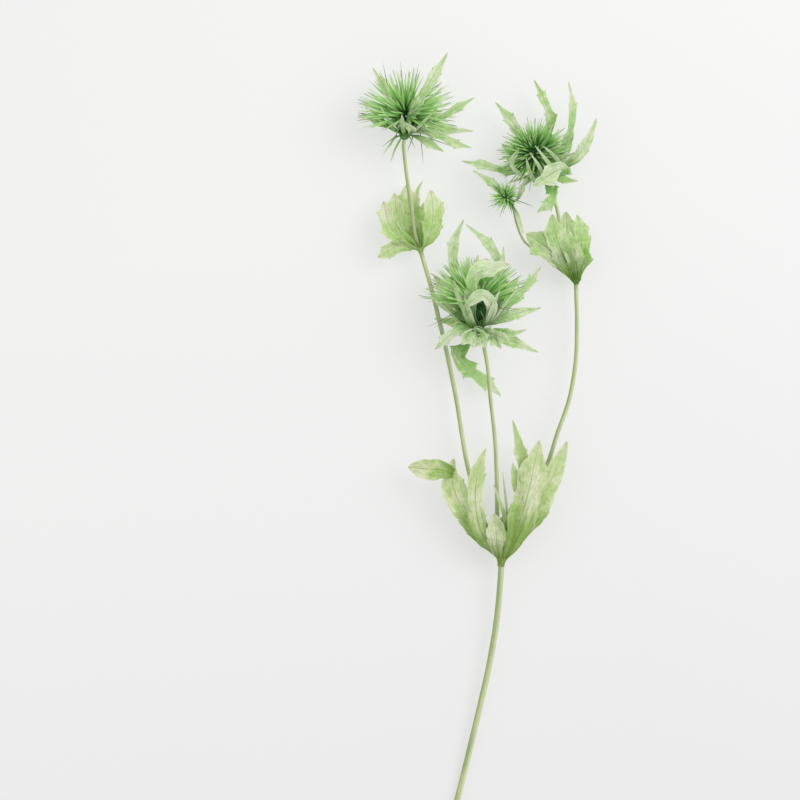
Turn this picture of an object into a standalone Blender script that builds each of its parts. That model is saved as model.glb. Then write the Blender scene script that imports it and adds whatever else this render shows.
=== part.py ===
# A cut stem of sea holly, laid down: a stem that forks at a whorl of leaves into three branches,
# with a spiny flower head on each and a bud on a side stalk.
#
# Frame: +Z up, the stem lies on Z = 0 and runs along Y, with its heads at +Y. Lengths below are in
# millimetres, and MM turns them into Blender's metres where a mesh is made. The points are
# measured from a place near the main whorl, and at the end ORIGIN, the middle of the part's
# footprint, is moved to the world's origin.

import math
import random

import bmesh
import bpy
from mathutils import Matrix, Vector
from mathutils.bvhtree import BVHTree

MM = 0.001

# Stems: round, with a swelling at each fork
MAIN_RADIUS = 1.9
BRANCH_RADIUS = 1.35
STALK_RADIUS = 1.15
BUD_STALK_RADIUS = 0.8
FORK_SWELLING = 1.4
STEM_STEP = 13.0
STEM_BEVEL_RESOLUTION = 1

# Blades: every leaf and bract is a thin toothed blade, folded a little along its midrib
BLADE_THICKNESS = 0.7
BLADE_FOLD = 0.22
BLADE_TIP = 0.35
LEAF_TOOTH_DEPTH = 0.17
BRACT_TOOTH_DEPTH = 0.34
TOOTH_LEAD = 0.7
LONGEST_LEAD = 0.08
LEAF_ROOT_SHARE = 0.42
LEAF_WIDEST_AT = 0.52
BLADE_TIP_FULLNESS = 0.7
ROOT_TURN_ENDS_AT = 0.35
TOOTH_FADE = 4
FIRST_TOOTH = 0.16
LAST_TOOTH = 0.88
PLAIN_EDGE_AT = (0.35, 0.75)

# What lies near the surface is bent along it, just clear of it; the resting blades touch it
FLOOR_CLEARANCE = 0.55
FLOOR_SOFTNESS = 1.6

# Gap between pieces that meet
GAP = 0.35

# Flower heads: a cone, the short florets and long spines that stand out of it in golden-angle
# order, and bracts round its foot
SPINE_RADIUS = 0.9
SPINE_SINK = 1.3
SPINE_GAP = 0.45
SPINE_TRIES = 9
FLORET_RADIUS = 1.5
FLORET_LENGTH = 3.6
FLORETS_REACH = 70
GOLDEN_ANGLE = math.pi * (3 - math.sqrt(5))
BRACTLET_WIDTH = 2.8
BRACTLET_CLEAR_OF_CONE = 2.5
BRACT_RING_SHARE = 0.45
WHORL_RING_THICKNESS = 0.95
CONE_TO_BRACTS = 0.9

# Middle of the part's footprint
ORIGIN = Vector((-14.1, 46.9, 0.0))

MAIN_FORK = Vector((1.5, -15.6, 12.0))
LEFT_FORK = Vector((-47.7, 170.4, 14.0))
RIGHT_FORK = Vector((46.1, 151.2, 13.0))

# opening: how far down its sides, in degrees from its top, the spines start
LEFT_HEAD = dict(
    name="left_head", foot=Vector((-57.0, 238.0, 21.0)), axis=Vector((0.06, 1.0, 0.2)), foot_radius=3.2,
    cone_radius=7.0, cone_length=16.0, florets=14, spines=66, spine_length=(19.0, 24.0), opening=104,
    bractlets=10, bractlet_length=27.0, bractlet_angle=50, seed=11)
CENTRE_HEAD = dict(
    name="centre_head", foot=Vector((-12.9, 122.4, 25.0)), axis=Vector((-0.08, 1.0, 0.12)), foot_radius=3.8,
    cone_radius=8.0, cone_length=19.0, florets=12, spines=72, spine_length=(19.0, 27.0), opening=84,
    bractlets=11, bractlet_length=36.0, bractlet_angle=38, seed=23)
RIGHT_HEAD = dict(
    name="right_head", foot=Vector((25.8, 217.2, 13.0)), axis=Vector((-0.34, 0.68, 0.65)), foot_radius=3.4,
    cone_radius=7.6, cone_length=19.0, florets=22, spines=62, spine_length=(7.0, 17.0), opening=104,
    bractlets=10, bractlet_length=20.0, bractlet_angle=68, seed=37)
BUD = dict(
    name="bud", foot=Vector((7.2, 197.4, 15.0)), axis=Vector((-0.5, 0.5, 0.7)), foot_radius=1.9,
    cone_radius=3.2, cone_length=8.0, florets=6, spines=30, spine_length=(4.0, 8.5), opening=100,
    bractlets=0, bractlet_length=0.0, bractlet_angle=0, seed=41)

# Stem lines, from the cut end upwards. A branch starts in its fork.
MAIN_STEM = [(-32.8, -192, 1.64), (-25, -162, 3.6), (-13.6, -115, 6.3), (-6.2, -82, 8.2), (-1.6, -54.6, 9.8),
             (0.6, -31.8, 11.1), tuple(MAIN_FORK)]
LEFT_BRANCH = [tuple(MAIN_FORK), (-4.2, -6, 13.5), (-12, 15, 14.5), (-18.6, 37.4, 15),
               (-22.5, 58.8, 15), (-25.6, 78.6, 15), (-30.9, 104.6, 15), (-36.3, 127.8, 15),
               (-41.6, 149, 14.5), tuple(LEFT_FORK)]
LEFT_STALK = [tuple(LEFT_FORK), (-50.6, 178, 15.5), (-53.2, 197.6, 18), (-55.9, 216, 20), (-57.5, 231, 21)]
CENTRE_BRANCH = [tuple(MAIN_FORK), (-0.6, -3, 14), (-1.2, 6.8, 15), (-1.4, 24.6, 17), (-2.2, 47.4, 19),
                 (-3.4, 62.7, 20), (-5.4, 79.2, 21.5), (-7.2, 98.5, 23.5), (-9.8, 112, 25)]
RIGHT_BRANCH = [tuple(MAIN_FORK), (4.8, -9.6, 12.8), (12, 4.8, 13.5), (21, 24, 14), (29.5, 42, 14),
                (34.9, 58.9, 14), (42, 79.2, 14), (46, 102.4, 13.5), (46.8, 125.4, 13.2), tuple(RIGHT_FORK)]
RIGHT_STALK = [tuple(RIGHT_FORK), (42.6, 160.8, 12.5), (37.8, 178.2, 11), (34.8, 195, 10), (30.6, 207, 10.5)]
BUD_STALK = [tuple(RIGHT_FORK), (37.2, 157.2, 9.5), (27, 165.6, 8.5), (18, 172.2, 9), (14.3, 176, 10.5),
             (10.7, 184.8, 12.5), (9, 192, 14)]


def leaf(points, width, teeth, face=(0, 0, 1), floor="clear", grows="from root", widest=LEAF_WIDEST_AT):
    """One leaf or bract: its midrib's points after the root, its greatest width, its teeth a side,
    the way its face looks, and whether it "rests" on the surface or stays "clear" of it. One that
    grows "from its first point" starts there, inside another blade."""
    return dict(points=[Vector(p) for p in points], width=width, teeth=teeth, face=Vector(face).normalized(),
                rests=floor == "rests", rooted=grows == "from root", widest=widest)


MAIN_WHORL = [
    leaf([(-9, -7, 16), (-14.6, 1, 19), (-21, 11, 22), (-26, 22, 22.5), (-28.6, 33, 22), (-27.7, 44.2, 20)],
         14, 2, (-0.5, 0.1, 1), widest=0.66),
    leaf([(-27.6, 35.4, 22.6), (-35, 37.6, 25), (-44.6, 38, 25), (-55, 39, 23)], 13, 0, (0, -0.2, 1),
         grows="from its first point"),
    leaf([(-6.6, -8.6, 19), (-11.8, 1, 23), (-14.2, 12, 25.5), (-14.8, 24, 26.5), (-13.2, 37, 26.5),
          (-8.4, 50.2, 24)],
         10.5, 2, (0.2, 0, 1)),
    leaf([(-1.6, -9, 20), (-2.2, 0, 22.8), (-3.2, 11.4, 22.5)], 11, 1, widest=0.58),
    leaf([(6.3, -6, 19), (12, 15, 22), (15.4, 33, 23), (13, 47, 24), (7.7, 67.2, 24)], 8, 2, (-0.3, 0, 1)),
    leaf([(7.4, -7.6, 20), (13, 10.2, 25), (17.4, 26.4, 27), (20.8, 42, 27), (23.6, 55, 25)],
         17.5, 2, (0.1, 0, 1)),
    leaf([(12.4, 17, 26.6), (10.2, 29, 27), (7.6, 41.6, 26)], 6, 0, grows="from its first point"),
    leaf([(9.3, -9.6, 15), (19, 6, 18), (27, 21.6, 20), (33.8, 38.4, 20), (40.6, 54.4, 19)],
         13.5, 2, (0.6, -0.2, 1), widest=0.6),
    leaf([(-7.8, -6, 6), (-18, 10.8, 3), (-25.2, 25.2, 3), (-30, 36, 4)], 14, 3, (-0.2, 0, 1)),
    leaf([(1.6, -6, 3), (2.2, 2, 2.4), (2.4, 9, 3)], 12, 1),
    leaf([(9, -6, 6), (19.2, 12, 3), (27, 30, 3), (31.2, 45, 4)], 14, 3, (0.2, 0, 1)),
    leaf([(3, -9, 20), (3.8, 6, 21), (-3.6, 28.8, 22.5)], 2.6, 0),
    leaf([(3.2, -9, 19), (4.6, 9, 20), (1.8, 36, 21.5)], 1.7, 0, (-0.5, 0, 1)),
]
LEFT_WHORL = [
    leaf([(-43.4, 174.6, 18), (-40.6, 184, 20.5), (-40, 194.6, 21), (-41.2, 205, 20)], 13, 2, (0.3, 0, 1)),
    leaf([(-48.3, 176.4, 8), (-51.6, 186, 7.5), (-54.4, 196.4, 9), (-55.8, 208.6, 11)], 15, 3, widest=0.6),
    leaf([(-53.6, 175.2, 11), (-58.6, 182.4, 12), (-61.8, 192, 13.5), (-63, 203.6, 13)], 12, 3, (-0.2, 0, 1)),
    leaf([(-53.4, 173.4, 18), (-60, 177, 20), (-66.4, 185, 20), (-69.6, 198.4, 18)], 11, 3, (-0.2, -0.1, 1)),
    leaf([(-53.7, 171, 18), (-61, 171.6, 18), (-73, 165, 14)], 9, 2, (-0.1, -0.3, 1)),
    leaf([(-46.6, 177, 5), (-46, 188, 2.5), (-45.6, 198, 2.5)], 11, 2),
    leaf([(-50.6, 192, 8), (-49.6, 204, 9), (-46.2, 211, 10)], 2.4, 0, grows="from its first point"),
]
RIGHT_WHORL = [
    leaf([(41.4, 159, 18), (35, 165, 21.5), (27, 171.6, 22), (16, 178.8, 20)],
         15, 2, (-0.1, -0.2, 1), widest=0.66),
    leaf([(41.4, 159, 20), (36, 170, 25), (32.6, 181, 25), (31.4, 190.4, 23)], 13, 2, (-0.1, -0.1, 1)),
    leaf([(44.4, 160, 5), (42.2, 171, 3.6), (41.2, 182, 4), (40.5, 193, 5)], 15, 3),
    leaf([(47, 159, 19), (48.6, 169, 21.5), (48.6, 180, 20.5), (46.6, 190.4, 18)], 10, 2, (0.4, 0, 1)),
    leaf([(45, 160, 20), (43.6, 168, 24), (41.8, 175.4, 25), (40.6, 181.4, 24)], 9.5, 1),
    leaf([(49.8, 158, 13), (51.6, 164.6, 13), (51.2, 174, 13), (48.8, 184, 12)], 8, 2, (0.8, 0, 1)),
]
LEFT_HEAD_BRACTS = [
    leaf([(-54.6, 245, 33), (-45.6, 262.2, 36), (-37.2, 276, 35), (-31.2, 286.2, 32)],
         6.4, 2, (0.3, -0.1, 1)),
    leaf([(-48, 243.6, 25), (-36, 247.2, 26.5), (-27, 252.6, 27), (-15.3, 260.1, 25)],
         5.4, 2, (-0.2, 0.3, 1)),
    leaf([(-45, 241.2, 15), (-30, 241.8, 11), (-15.6, 241.2, 10)], 5.0, 1),
    leaf([(-48, 240, 27), (-37.2, 237.6, 28), (-27, 232.8, 25), (-17.1, 230.4, 21)], 5.4, 2, (0.2, -0.3, 1)),
    leaf([(-49.2, 236.6, 23), (-42, 232.8, 23), (-33.6, 228, 21)], 4.6, 1),
    leaf([(-52, 239.4, 31), (-54.6, 241.8, 38), (-60.6, 244.5, 41)], 4.4, 0, (0.3, -0.8, 0.5)),
    leaf([(-62.4, 249, 29), (-67.8, 262.8, 31), (-75.6, 277.2, 29)], 5.0, 2, (-0.3, 0, 1)),
    leaf([(-64.2, 242, 25), (-71, 245, 24), (-83, 251, 21)], 5.0, 1, (0, 0.3, 1)),
    leaf([(-62.6, 236, 25), (-65.6, 232, 25.5), (-69.6, 226.4, 25)], 2.2, 0),
    leaf([(-57.4, 246, 7), (-60, 256, -3), (-62.4, 270, -3)], 6.0, 1, floor="rests"),
    leaf([(-48, 249, 8), (-40.8, 261, 3), (-34.6, 268, 3)], 3.6, 1, (0.2, 0, 1)),
    leaf([(-60.6, 234, 12), (-63, 229.6, 8), (-65.4, 222.6, 6)], 2.2, 0, (-0.2, 0, 1)),
]
CENTRE_HEAD_BRACTS = [
    leaf([(-22.8, 136, 21), (-27.4, 158, 23), (-27, 174, 25), (-21.6, 187, 27)], 6.8, 2, (-0.3, 0, 1)),
    leaf([(-3, 136, 19), (0.4, 157, 21), (-7, 172, 26), (-20.4, 184, 32)], 6.0, 2, (0.4, 0, 1)),
    leaf([(-0.4, 138, 28), (1.2, 156, 30), (2.1, 170.6, 29)], 4.8, 1, (0.2, 0, 1)),
    leaf([(-11.6, 132, 38), (-15.8, 144, 43), (-15.4, 153, 46), (-7, 157.4, 46), (5.2, 160.4, 42)], 9.4, 2,
         (-0.1, 0.2, 1), widest=0.7),
    leaf([(-6.4, 128.6, 36), (-5.6, 136, 43), (-11.6, 141, 46), (-22, 134.2, 46)],
         7.4, 0, (0, 0.3, 1), widest=0.7),
    leaf([(-3, 129, 29), (7.2, 138.6, 31), (15.6, 147.2, 31), (24.3, 158.8, 30)], 6.4, 3, (0.2, -0.2, 1)),
    leaf([(-1.2, 126.6, 27), (10.8, 131, 27), (24.6, 134.4, 25)], 5.6, 1, (0, -0.2, 1)),
    leaf([(-3, 120.4, 32), (7.2, 119, 35), (15.6, 121.2, 33)], 4.4, 1, (0, -0.3, 1)),
    leaf([(-4.8, 117.4, 29), (9, 113.6, 27), (23, 107.7, 25)], 5.6, 1, (0, -0.3, 1)),
    leaf([(-20.4, 122.6, 31), (-28.8, 118.6, 32), (-38.7, 109.5, 29)], 6.4, 2, (-0.1, -0.2, 1)),
    leaf([(-22, 131, 26), (-31.2, 142.4, 26), (-39.6, 153, 26)], 7.4, 3, (-0.3, 0, 1)),
    leaf([(-23, 127.4, 23), (-31.8, 134.6, 22.5), (-41.4, 143, 22)], 5.0, 2, (-0.2, 0, 1)),
    leaf([(-19.6, 131, 37), (-25.2, 141.8, 40), (-28.2, 150.6, 40)], 4.6, 0, (-0.4, 0, 1)),
    leaf([(-15.6, 120, 32), (-19.6, 116.4, 37), (-23.2, 112, 39)], 8.4, 2, (-0.2, -0.6, 1)),
    leaf([(-11.8, 119.4, 33), (-10.8, 115.4, 38), (-9, 110.2, 41)], 10.0, 2, (0, -0.7, 1)),
    leaf([(-7.4, 120, 32), (-0.6, 117, 36), (5.8, 113.8, 37)], 8.4, 2, (0.2, -0.6, 1)),
    leaf([(-13.6, 136, 10), (-18, 152, 3), (-19.2, 165, 2)], 6.4, 2),
    leaf([(-3.6, 131, 11), (4.8, 142.8, 4), (12, 153, 3)], 5.8, 2, (0.2, 0, 1)),
    leaf([(-22, 125, 11), (-30.4, 126.6, 4), (-39, 128.4, 2)], 5.4, 1),
    leaf([(-19.6, 113.4, 16), (-25.4, 106.6, 12), (-18.4, 97.6, 10), (-7.4, 89.4, 10), (1.2, 81.6, 11)],
         9.6, 3, (0.1, 0.1, 1)),
]
RIGHT_HEAD_BRACTS = [
    leaf([(17, 229, 9), (9.6, 243, 15), (3.6, 250.8, 19), (-2.5, 257.5, 21)], 6.4, 2, (-0.2, 0.2, 1)),
    leaf([(27.6, 229.2, 11), (30.6, 247.2, 18), (26.4, 259.2, 21), (20.4, 271, 23)], 5.8, 3),
    leaf([(36, 226, 14), (42.6, 242, 20), (43.4, 256.4, 25), (41, 269.2, 27)], 5.2, 2, (0.4, 0, 1)),
    leaf([(36.6, 218.8, 16), (45.4, 224.4, 21), (52.8, 235.2, 25), (57.8, 247.4, 27)],
         6.0, 1, (0.3, -0.2, 1)),
    leaf([(33.4, 213, 19), (37.4, 216, 30), (33.6, 215.6, 38), (19.2, 206.4, 41)],
         11, 2, (0.3, -0.4, 1), widest=0.66),
    leaf([(29.4, 209.6, 16), (32, 203, 18), (29.6, 197.4, 19), (22.6, 191.7, 19)], 7.0, 2, (0, -0.2, 1)),
    leaf([(15, 217.2, 13), (3, 217.2, 15), (-9, 220.2, 17), (-22.8, 222.6, 17)], 5.4, 2, (0, -0.2, 1)),
    leaf([(34.6, 213.4, 14), (41, 211.4, 14), (47, 210.8, 15)], 4.2, 1),
    leaf([(22.4, 209.6, 19), (17.6, 214.6, 34), (15, 222.8, 42)], 2.8, 0, (-0.1, -0.7, 0.7)),
    leaf([(16, 213, 18), (7.4, 218.6, 30), (10.8, 227, 37)], 2.8, 0, (-0.6, -0.3, 0.7)),
    leaf([(18, 222, 4), (9, 228, 2), (1.8, 234, 2)], 6.0, 1),
    leaf([(35, 222, 5), (41, 231, -3), (45.6, 241.2, -3)], 6.0, 1, floor="rests"),
]
BUD_BRACTS = [
    leaf([(-0.6, 205.6, 20), (-7.2, 211, 22), (-16, 216.5, 22)], 4.0, 1, (0, 0.2, 1)),
    leaf([(11.4, 201, 19), (13.6, 207, 22), (15.8, 212.6, 23.6)], 3.2, 1, (0.3, -0.4, 1)),
    leaf([(10.8, 190, 17.6), (12.6, 184.6, 17), (14.4, 179.4, 15.5)], 2.6, 0, (0.2, 0, 1)),
]

STEM_GREEN = (0.46, 0.58, 0.27)
LEAF_GREEN = (0.50, 0.66, 0.29)
BRACT_GREEN = (0.42, 0.62, 0.28)
CONE_GREEN = (0.10, 0.30, 0.10)


def clear_scene():
    for obj in list(bpy.data.objects):
        bpy.data.objects.remove(obj)


def new_collection(name):
    collection = bpy.data.collections.new(name)
    bpy.context.scene.collection.children.link(collection)
    return collection


def material(name, colour, roughness):
    made = bpy.data.materials.new(name)
    made.use_nodes = True
    shader = made.node_tree.nodes["Principled BSDF"]
    shader.inputs["Base Color"].default_value = (*colour, 1.0)
    shader.inputs["Roughness"].default_value = roughness
    shader.inputs["Metallic"].default_value = 0.0
    return made


def mesh_object(name, bm, collection):
    mesh = bpy.data.meshes.new(name)
    bm.to_mesh(mesh)
    bm.free()
    obj = bpy.data.objects.new(name, mesh)
    collection.objects.link(obj)
    return obj


# Lines

def smooth_line(points, per_span=10):
    """Points along the Catmull-Rom curve through the given ones."""
    knots = [2 * points[0] - points[1], *points, 2 * points[-1] - points[-2]]
    line = []
    for a, b, c, d in zip(knots, knots[1:], knots[2:], knots[3:]):
        for i in range(per_span):
            t = i / per_span
            line.append(0.5 * (2 * b + (c - a) * t + (2 * a - 5 * b + 4 * c - d) * t * t
                               + (3 * b - a - 3 * c + d) * t ** 3))
    return line + [points[-1]]


def points_at(points, shares):
    """Points of the smooth line at these shares of its length."""
    line = smooth_line(points)
    reached = [0.0]
    for a, b in zip(line, line[1:]):
        reached.append(reached[-1] + (b - a).length)
    found = []
    for share in shares:
        want = share * reached[-1]
        i = next((k for k in range(1, len(line)) if reached[k] >= want), len(line) - 1)
        part = (want - reached[i - 1]) / max(reached[i] - reached[i - 1], 1e-9)
        found.append(line[i - 1].lerp(line[i], min(max(part, 0.0), 1.0)))
    return found


def line_length(points):
    line = smooth_line(points)
    return sum((b - a).length for a, b in zip(line, line[1:]))


# Stems

def stem_tube(name, points, radius_from, radius_to, collection):
    """A round stem along the smooth line through the points, as a closed mesh."""
    points = [Vector(p) for p in points]
    count = max(5, round(line_length(points) / STEM_STEP) + 1)
    shares = [i / (count - 1) for i in range(count)]
    curve = bpy.data.curves.new(name, "CURVE")
    curve.dimensions = "3D"
    curve.bevel_depth = MM
    curve.bevel_resolution = STEM_BEVEL_RESOLUTION
    curve.use_fill_caps = True
    spline = curve.splines.new("POLY")
    spline.points.add(count - 1)
    for knot, share, place in zip(spline.points, shares, points_at(points, shares)):
        knot.co = (*(place * MM), 1.0)
        knot.radius = radius_from + (radius_to - radius_from) * share
    helper = bpy.data.objects.new(name + "_line", curve)
    collection.objects.link(helper)
    graph = bpy.context.evaluated_depsgraph_get()
    bm = bmesh.new()
    bm.from_mesh(bpy.data.meshes.new_from_object(helper.evaluated_get(graph)))
    bpy.data.objects.remove(helper)
    bmesh.ops.remove_doubles(bm, verts=bm.verts, dist=1e-5)
    bmesh.ops.recalc_face_normals(bm, faces=bm.faces)
    return mesh_object(name, bm, collection)


def swelling(name, centre, radius, collection):
    bm = bmesh.new()
    bmesh.ops.create_uvsphere(bm, u_segments=8, v_segments=6, radius=radius * MM,
                              matrix=Matrix.Translation(centre * MM))
    return mesh_object(name, bm, collection)


def short_of(points, foot, foot_radius):
    """The stem line, ended just short of a head's round foot."""
    last = Vector(points[-1])
    return points + [tuple(foot + (last - foot).normalized() * (foot_radius + GAP))]


# Blades

def half_width(share, spec):
    """Half the blade's width at a share of its length, before the teeth."""
    half, widest = spec["width"] / 2, spec["widest"]
    if share < widest:
        swell = math.sin(math.pi / 2 * share / widest) ** (1 if widest < 0.6 else 2)
        return half * (LEAF_ROOT_SHARE + (1 - LEAF_ROOT_SHARE) * swell)
    return half * math.cos(math.pi / 2 * (share - widest) / (1 - widest)) ** BLADE_TIP_FULLNESS


def blade_stations(spec, tooth_depth):
    """(share of the length, half width, forward lean of the edge) from root to tip."""
    teeth = spec["teeth"]
    rows = [(0.0, half_width(0.0, spec), 0.0)]
    if teeth == 0:
        rows += [(s, half_width(s, spec), 0.0) for s in PLAIN_EDGE_AT]
    else:
        step = (LAST_TOOTH - FIRST_TOOTH) / (2 * teeth)
        for k in range(2 * teeth + 1):
            share = FIRST_TOOTH + k * step
            is_tooth = k % 2 == 1
            depth = tooth_depth * (1 - share ** TOOTH_FADE)
            factor = 1 + depth if is_tooth else 1 - depth
            lead = min(TOOTH_LEAD * step, LONGEST_LEAD) if is_tooth else 0.0
            rows.append((share, half_width(share, spec) * factor, lead))
    rows.append((1.0, BLADE_TIP, 0.0))
    return rows


def settled(point, rests):
    """A point of the blade's middle surface, kept above what the stem lies on."""
    lowest = BLADE_THICKNESS / 2
    if rests:
        return Vector((point.x, point.y, max(point.z, lowest)))
    lowest += FLOOR_CLEARANCE
    over = (point.z - lowest) / FLOOR_SOFTNESS
    height = point.z if over > 20 else lowest + FLOOR_SOFTNESS * math.log1p(math.exp(over))
    return Vector((point.x, point.y, height))


def pushed_off(point, head):
    """A point of the blade's middle surface, kept outside the head's cone."""
    if head is None:
        return point
    frame = axis_frame(head["axis"])
    centre = cone_centre(head)
    margin = CONE_TO_BRACTS + BLADE_THICKNESS / 2
    sides = (head["cone_radius"] + margin, head["cone_radius"] + margin, head["cone_length"] / 2 + margin)
    local = frame.transposed() @ (point - centre)
    reach = Vector([local[i] / sides[i] for i in range(3)]).length
    if reach >= 1:
        return point
    return centre + frame @ (local / max(reach, 0.2))


def blade_surface(spec, points, root_across, tooth_depth, head):
    """Rows of the blade's middle surface, each with its left edge, midrib and right edge."""
    rows = blade_stations(spec, tooth_depth)
    length = line_length(points)
    ribs = points_at(points, [row[0] for row in rows])
    if root_across is not None:
        turned, ahead = points_at(points, [ROOT_TURN_ENDS_AT, ROOT_TURN_ENDS_AT + 0.1])
        if root_across.dot((ahead - turned).cross(spec["face"])) < 0:
            root_across = -root_across
    surface = []
    for i, (share, half, lead) in enumerate(rows):
        before, after = ribs[max(i - 1, 0)], ribs[min(i + 1, len(ribs) - 1)]
        along = (after - before).normalized()
        across = along.cross(spec["face"]).normalized()
        if root_across is not None:
            turn = min(share / ROOT_TURN_ENDS_AT, 1.0)
            across = root_across.lerp(across, turn * turn * (3 - 2 * turn))
        across = (across - along * across.dot(along)).normalized()
        normal = across.cross(along)
        lean = along * (lead * length)
        rise = normal * (BLADE_FOLD * half)
        surface.append([settled(pushed_off(p, head), spec["rests"]) for p in (
            ribs[i] - across * half + lean + rise, ribs[i], ribs[i] + across * half + lean + rise)])
    return surface


def surface_normals(surface):
    last = len(surface) - 1
    normals = []
    for i, row in enumerate(surface):
        before, after = surface[max(i - 1, 0)], surface[min(i + 1, last)]
        normals.append([(row[min(j + 1, 2)] - row[max(j - 1, 0)]).cross(after[j] - before[j]).normalized()
                        for j in range(3)])
    return normals


def blade(name, surface, collection):
    """A closed thin blade. Both faces are split into triangles alike, so they stay apart."""
    normals = surface_normals(surface)
    bm = bmesh.new()
    sides = []
    for sign in (1, -1):
        sides.append([[bm.verts.new(MM * (p + n * (sign * BLADE_THICKNESS / 2))) for p, n in zip(row, tilt)]
                      for row, tilt in zip(surface, normals)])
    upper, lower = sides
    for vert in bm.verts:
        vert.co.z = max(vert.co.z, 0.0)
    for i in range(len(surface) - 1):
        for j in range(2):
            a, b, c, d = upper[i][j], upper[i][j + 1], upper[i + 1][j + 1], upper[i + 1][j]
            e, f, g, h = lower[i][j], lower[i][j + 1], lower[i + 1][j + 1], lower[i + 1][j]
            one_way = ((a, b, d), (b, c, d), (e, h, f), (f, h, g))
            other_way = ((a, b, c), (a, c, d), (e, g, f), (e, h, g))
            for corners in other_way if j else one_way:
                bm.faces.new(corners)
        for j in (0, 2):
            a, b, c, d = upper[i][j], upper[i + 1][j], lower[i + 1][j], lower[i][j]
            for corners in ((a, b, c), (a, c, d)) if j == 0 else ((a, c, b), (a, d, c)):
                bm.faces.new(corners)
    for i, flip in ((0, False), (len(surface) - 1, True)):
        for j in range(2):
            corners = (upper[i][j], lower[i][j], lower[i][j + 1], upper[i][j + 1])
            bm.faces.new(corners[::-1] if flip else corners)
    bmesh.ops.triangulate(bm, faces=[f for f in bm.faces if len(f.verts) > 3])
    bmesh.ops.recalc_face_normals(bm, faces=bm.faces)
    return mesh_object(name, bm, collection)


def rooted_blades(name, leaves, centre, axis, ring_radius, tooth_depth, head, collection):
    """The blades of one whorl or head, each rooted round the centre on the side that it grows to."""
    for k, spec in enumerate(leaves):
        points = spec["points"]
        root_across = None
        if spec["rooted"]:
            out = points[0] - centre
            outward = (out - axis * out.dot(axis)).normalized()
            root_across = axis.cross(outward)
            points = [centre + outward * ring_radius, *points]
        blade(f"{name}_blade_{k}", blade_surface(spec, points, root_across, tooth_depth, head), collection)


# Joining

def joined(name, base, repeats, collection, finish):
    """The base and everything in the repeats' collection, joined into one solid."""
    union = base.modifiers.new("join", "BOOLEAN")
    union.operation = "UNION"
    union.operand_type = "COLLECTION"
    union.collection = repeats
    union.solver = "MANIFOLD"
    graph = bpy.context.evaluated_depsgraph_get()
    mesh = bpy.data.meshes.new_from_object(base.evaluated_get(graph))
    mesh.name = name
    for obj in [base, *repeats.objects]:
        bpy.data.objects.remove(obj)
    bpy.data.collections.remove(repeats)
    bm = bmesh.new()
    bm.from_mesh(mesh)
    bmesh.ops.triangulate(bm, faces=bm.faces)
    keep_largest_body(bm)
    bm.to_mesh(mesh)
    bm.free()
    obj = bpy.data.objects.new(name, mesh)
    obj.data.materials.clear()
    obj.data.materials.append(finish)
    collection.objects.link(obj)
    return obj


def keep_largest_body(bm):
    """Drops loose scraps, such as a spine's tip that misses what it should grow from."""
    unseen = set(bm.verts)
    bodies = []
    while unseen:
        body, edge_of_search = set(), [unseen.pop()]
        while edge_of_search:
            vert = edge_of_search.pop()
            body.add(vert)
            near = {e.other_vert(vert) for e in vert.link_edges} & unseen
            unseen -= near
            edge_of_search.extend(near)
        bodies.append(body)
    bodies.sort(key=len)
    for scrap in bodies[:-1]:
        bmesh.ops.delete(bm, geom=list(scrap), context="VERTS")


def tree_of(obj):
    bm = bmesh.new()
    bm.from_mesh(obj.data)
    tree = BVHTree.FromBMesh(bm)
    bm.free()
    return tree


# Flower heads

def axis_frame(axis):
    """A rotation that takes +Z to the axis."""
    return axis.to_track_quat("Z", "Y").to_matrix()


def cone_centre(head):
    return head["foot"] + head["axis"] * (head["foot_radius"] + GAP + head["cone_length"] / 2)


def cone_core(head, collection):
    bm = bmesh.new()
    bmesh.ops.create_uvsphere(bm, u_segments=10, v_segments=7, radius=1.0)
    side = head["cone_radius"] * MM
    bm.transform(Matrix.Translation(cone_centre(head) * MM) @ axis_frame(head["axis"]).to_4x4()
                 @ Matrix.Diagonal((side, side, head["cone_length"] / 2 * MM, 1.0)))
    return mesh_object(head["name"] + "_core", bm, collection)


def spine_is_clear(start, end, radius, trees):
    """True if the whole spine stays clear of every piece built before it."""
    for i in range(13):
        share = i / 12
        place = start.lerp(end, share)
        if place.z < radius + FLOOR_CLEARANCE:
            return False
        needed = radius * (1 - share) + SPINE_GAP
        for tree in trees:
            if tree.find_nearest(place * MM, needed * MM)[0] is not None:
                return False
    return True


def spine(name, start, end, radius, segments, collection):
    bm = bmesh.new()
    bmesh.ops.create_cone(bm, cap_ends=True, segments=segments, radius1=radius * MM, radius2=0.0,
                          depth=(end - start).length * MM)
    turn = (end - start).to_track_quat("Z", "Y").to_matrix().to_4x4()
    bm.transform(Matrix.Translation((start + end) / 2 * MM) @ turn)
    return mesh_object(name, bm, collection)


def from_cone(head, polar, around):
    """A way out of the cone and the point of its skin there."""
    frame = axis_frame(head["axis"])
    out = Vector((math.sin(polar) * math.cos(around), math.sin(polar) * math.sin(around), math.cos(polar)))
    skin = Vector((out.x * head["cone_radius"], out.y * head["cone_radius"], out.z * head["cone_length"] / 2))
    return frame @ out, cone_centre(head) + frame @ skin


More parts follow.
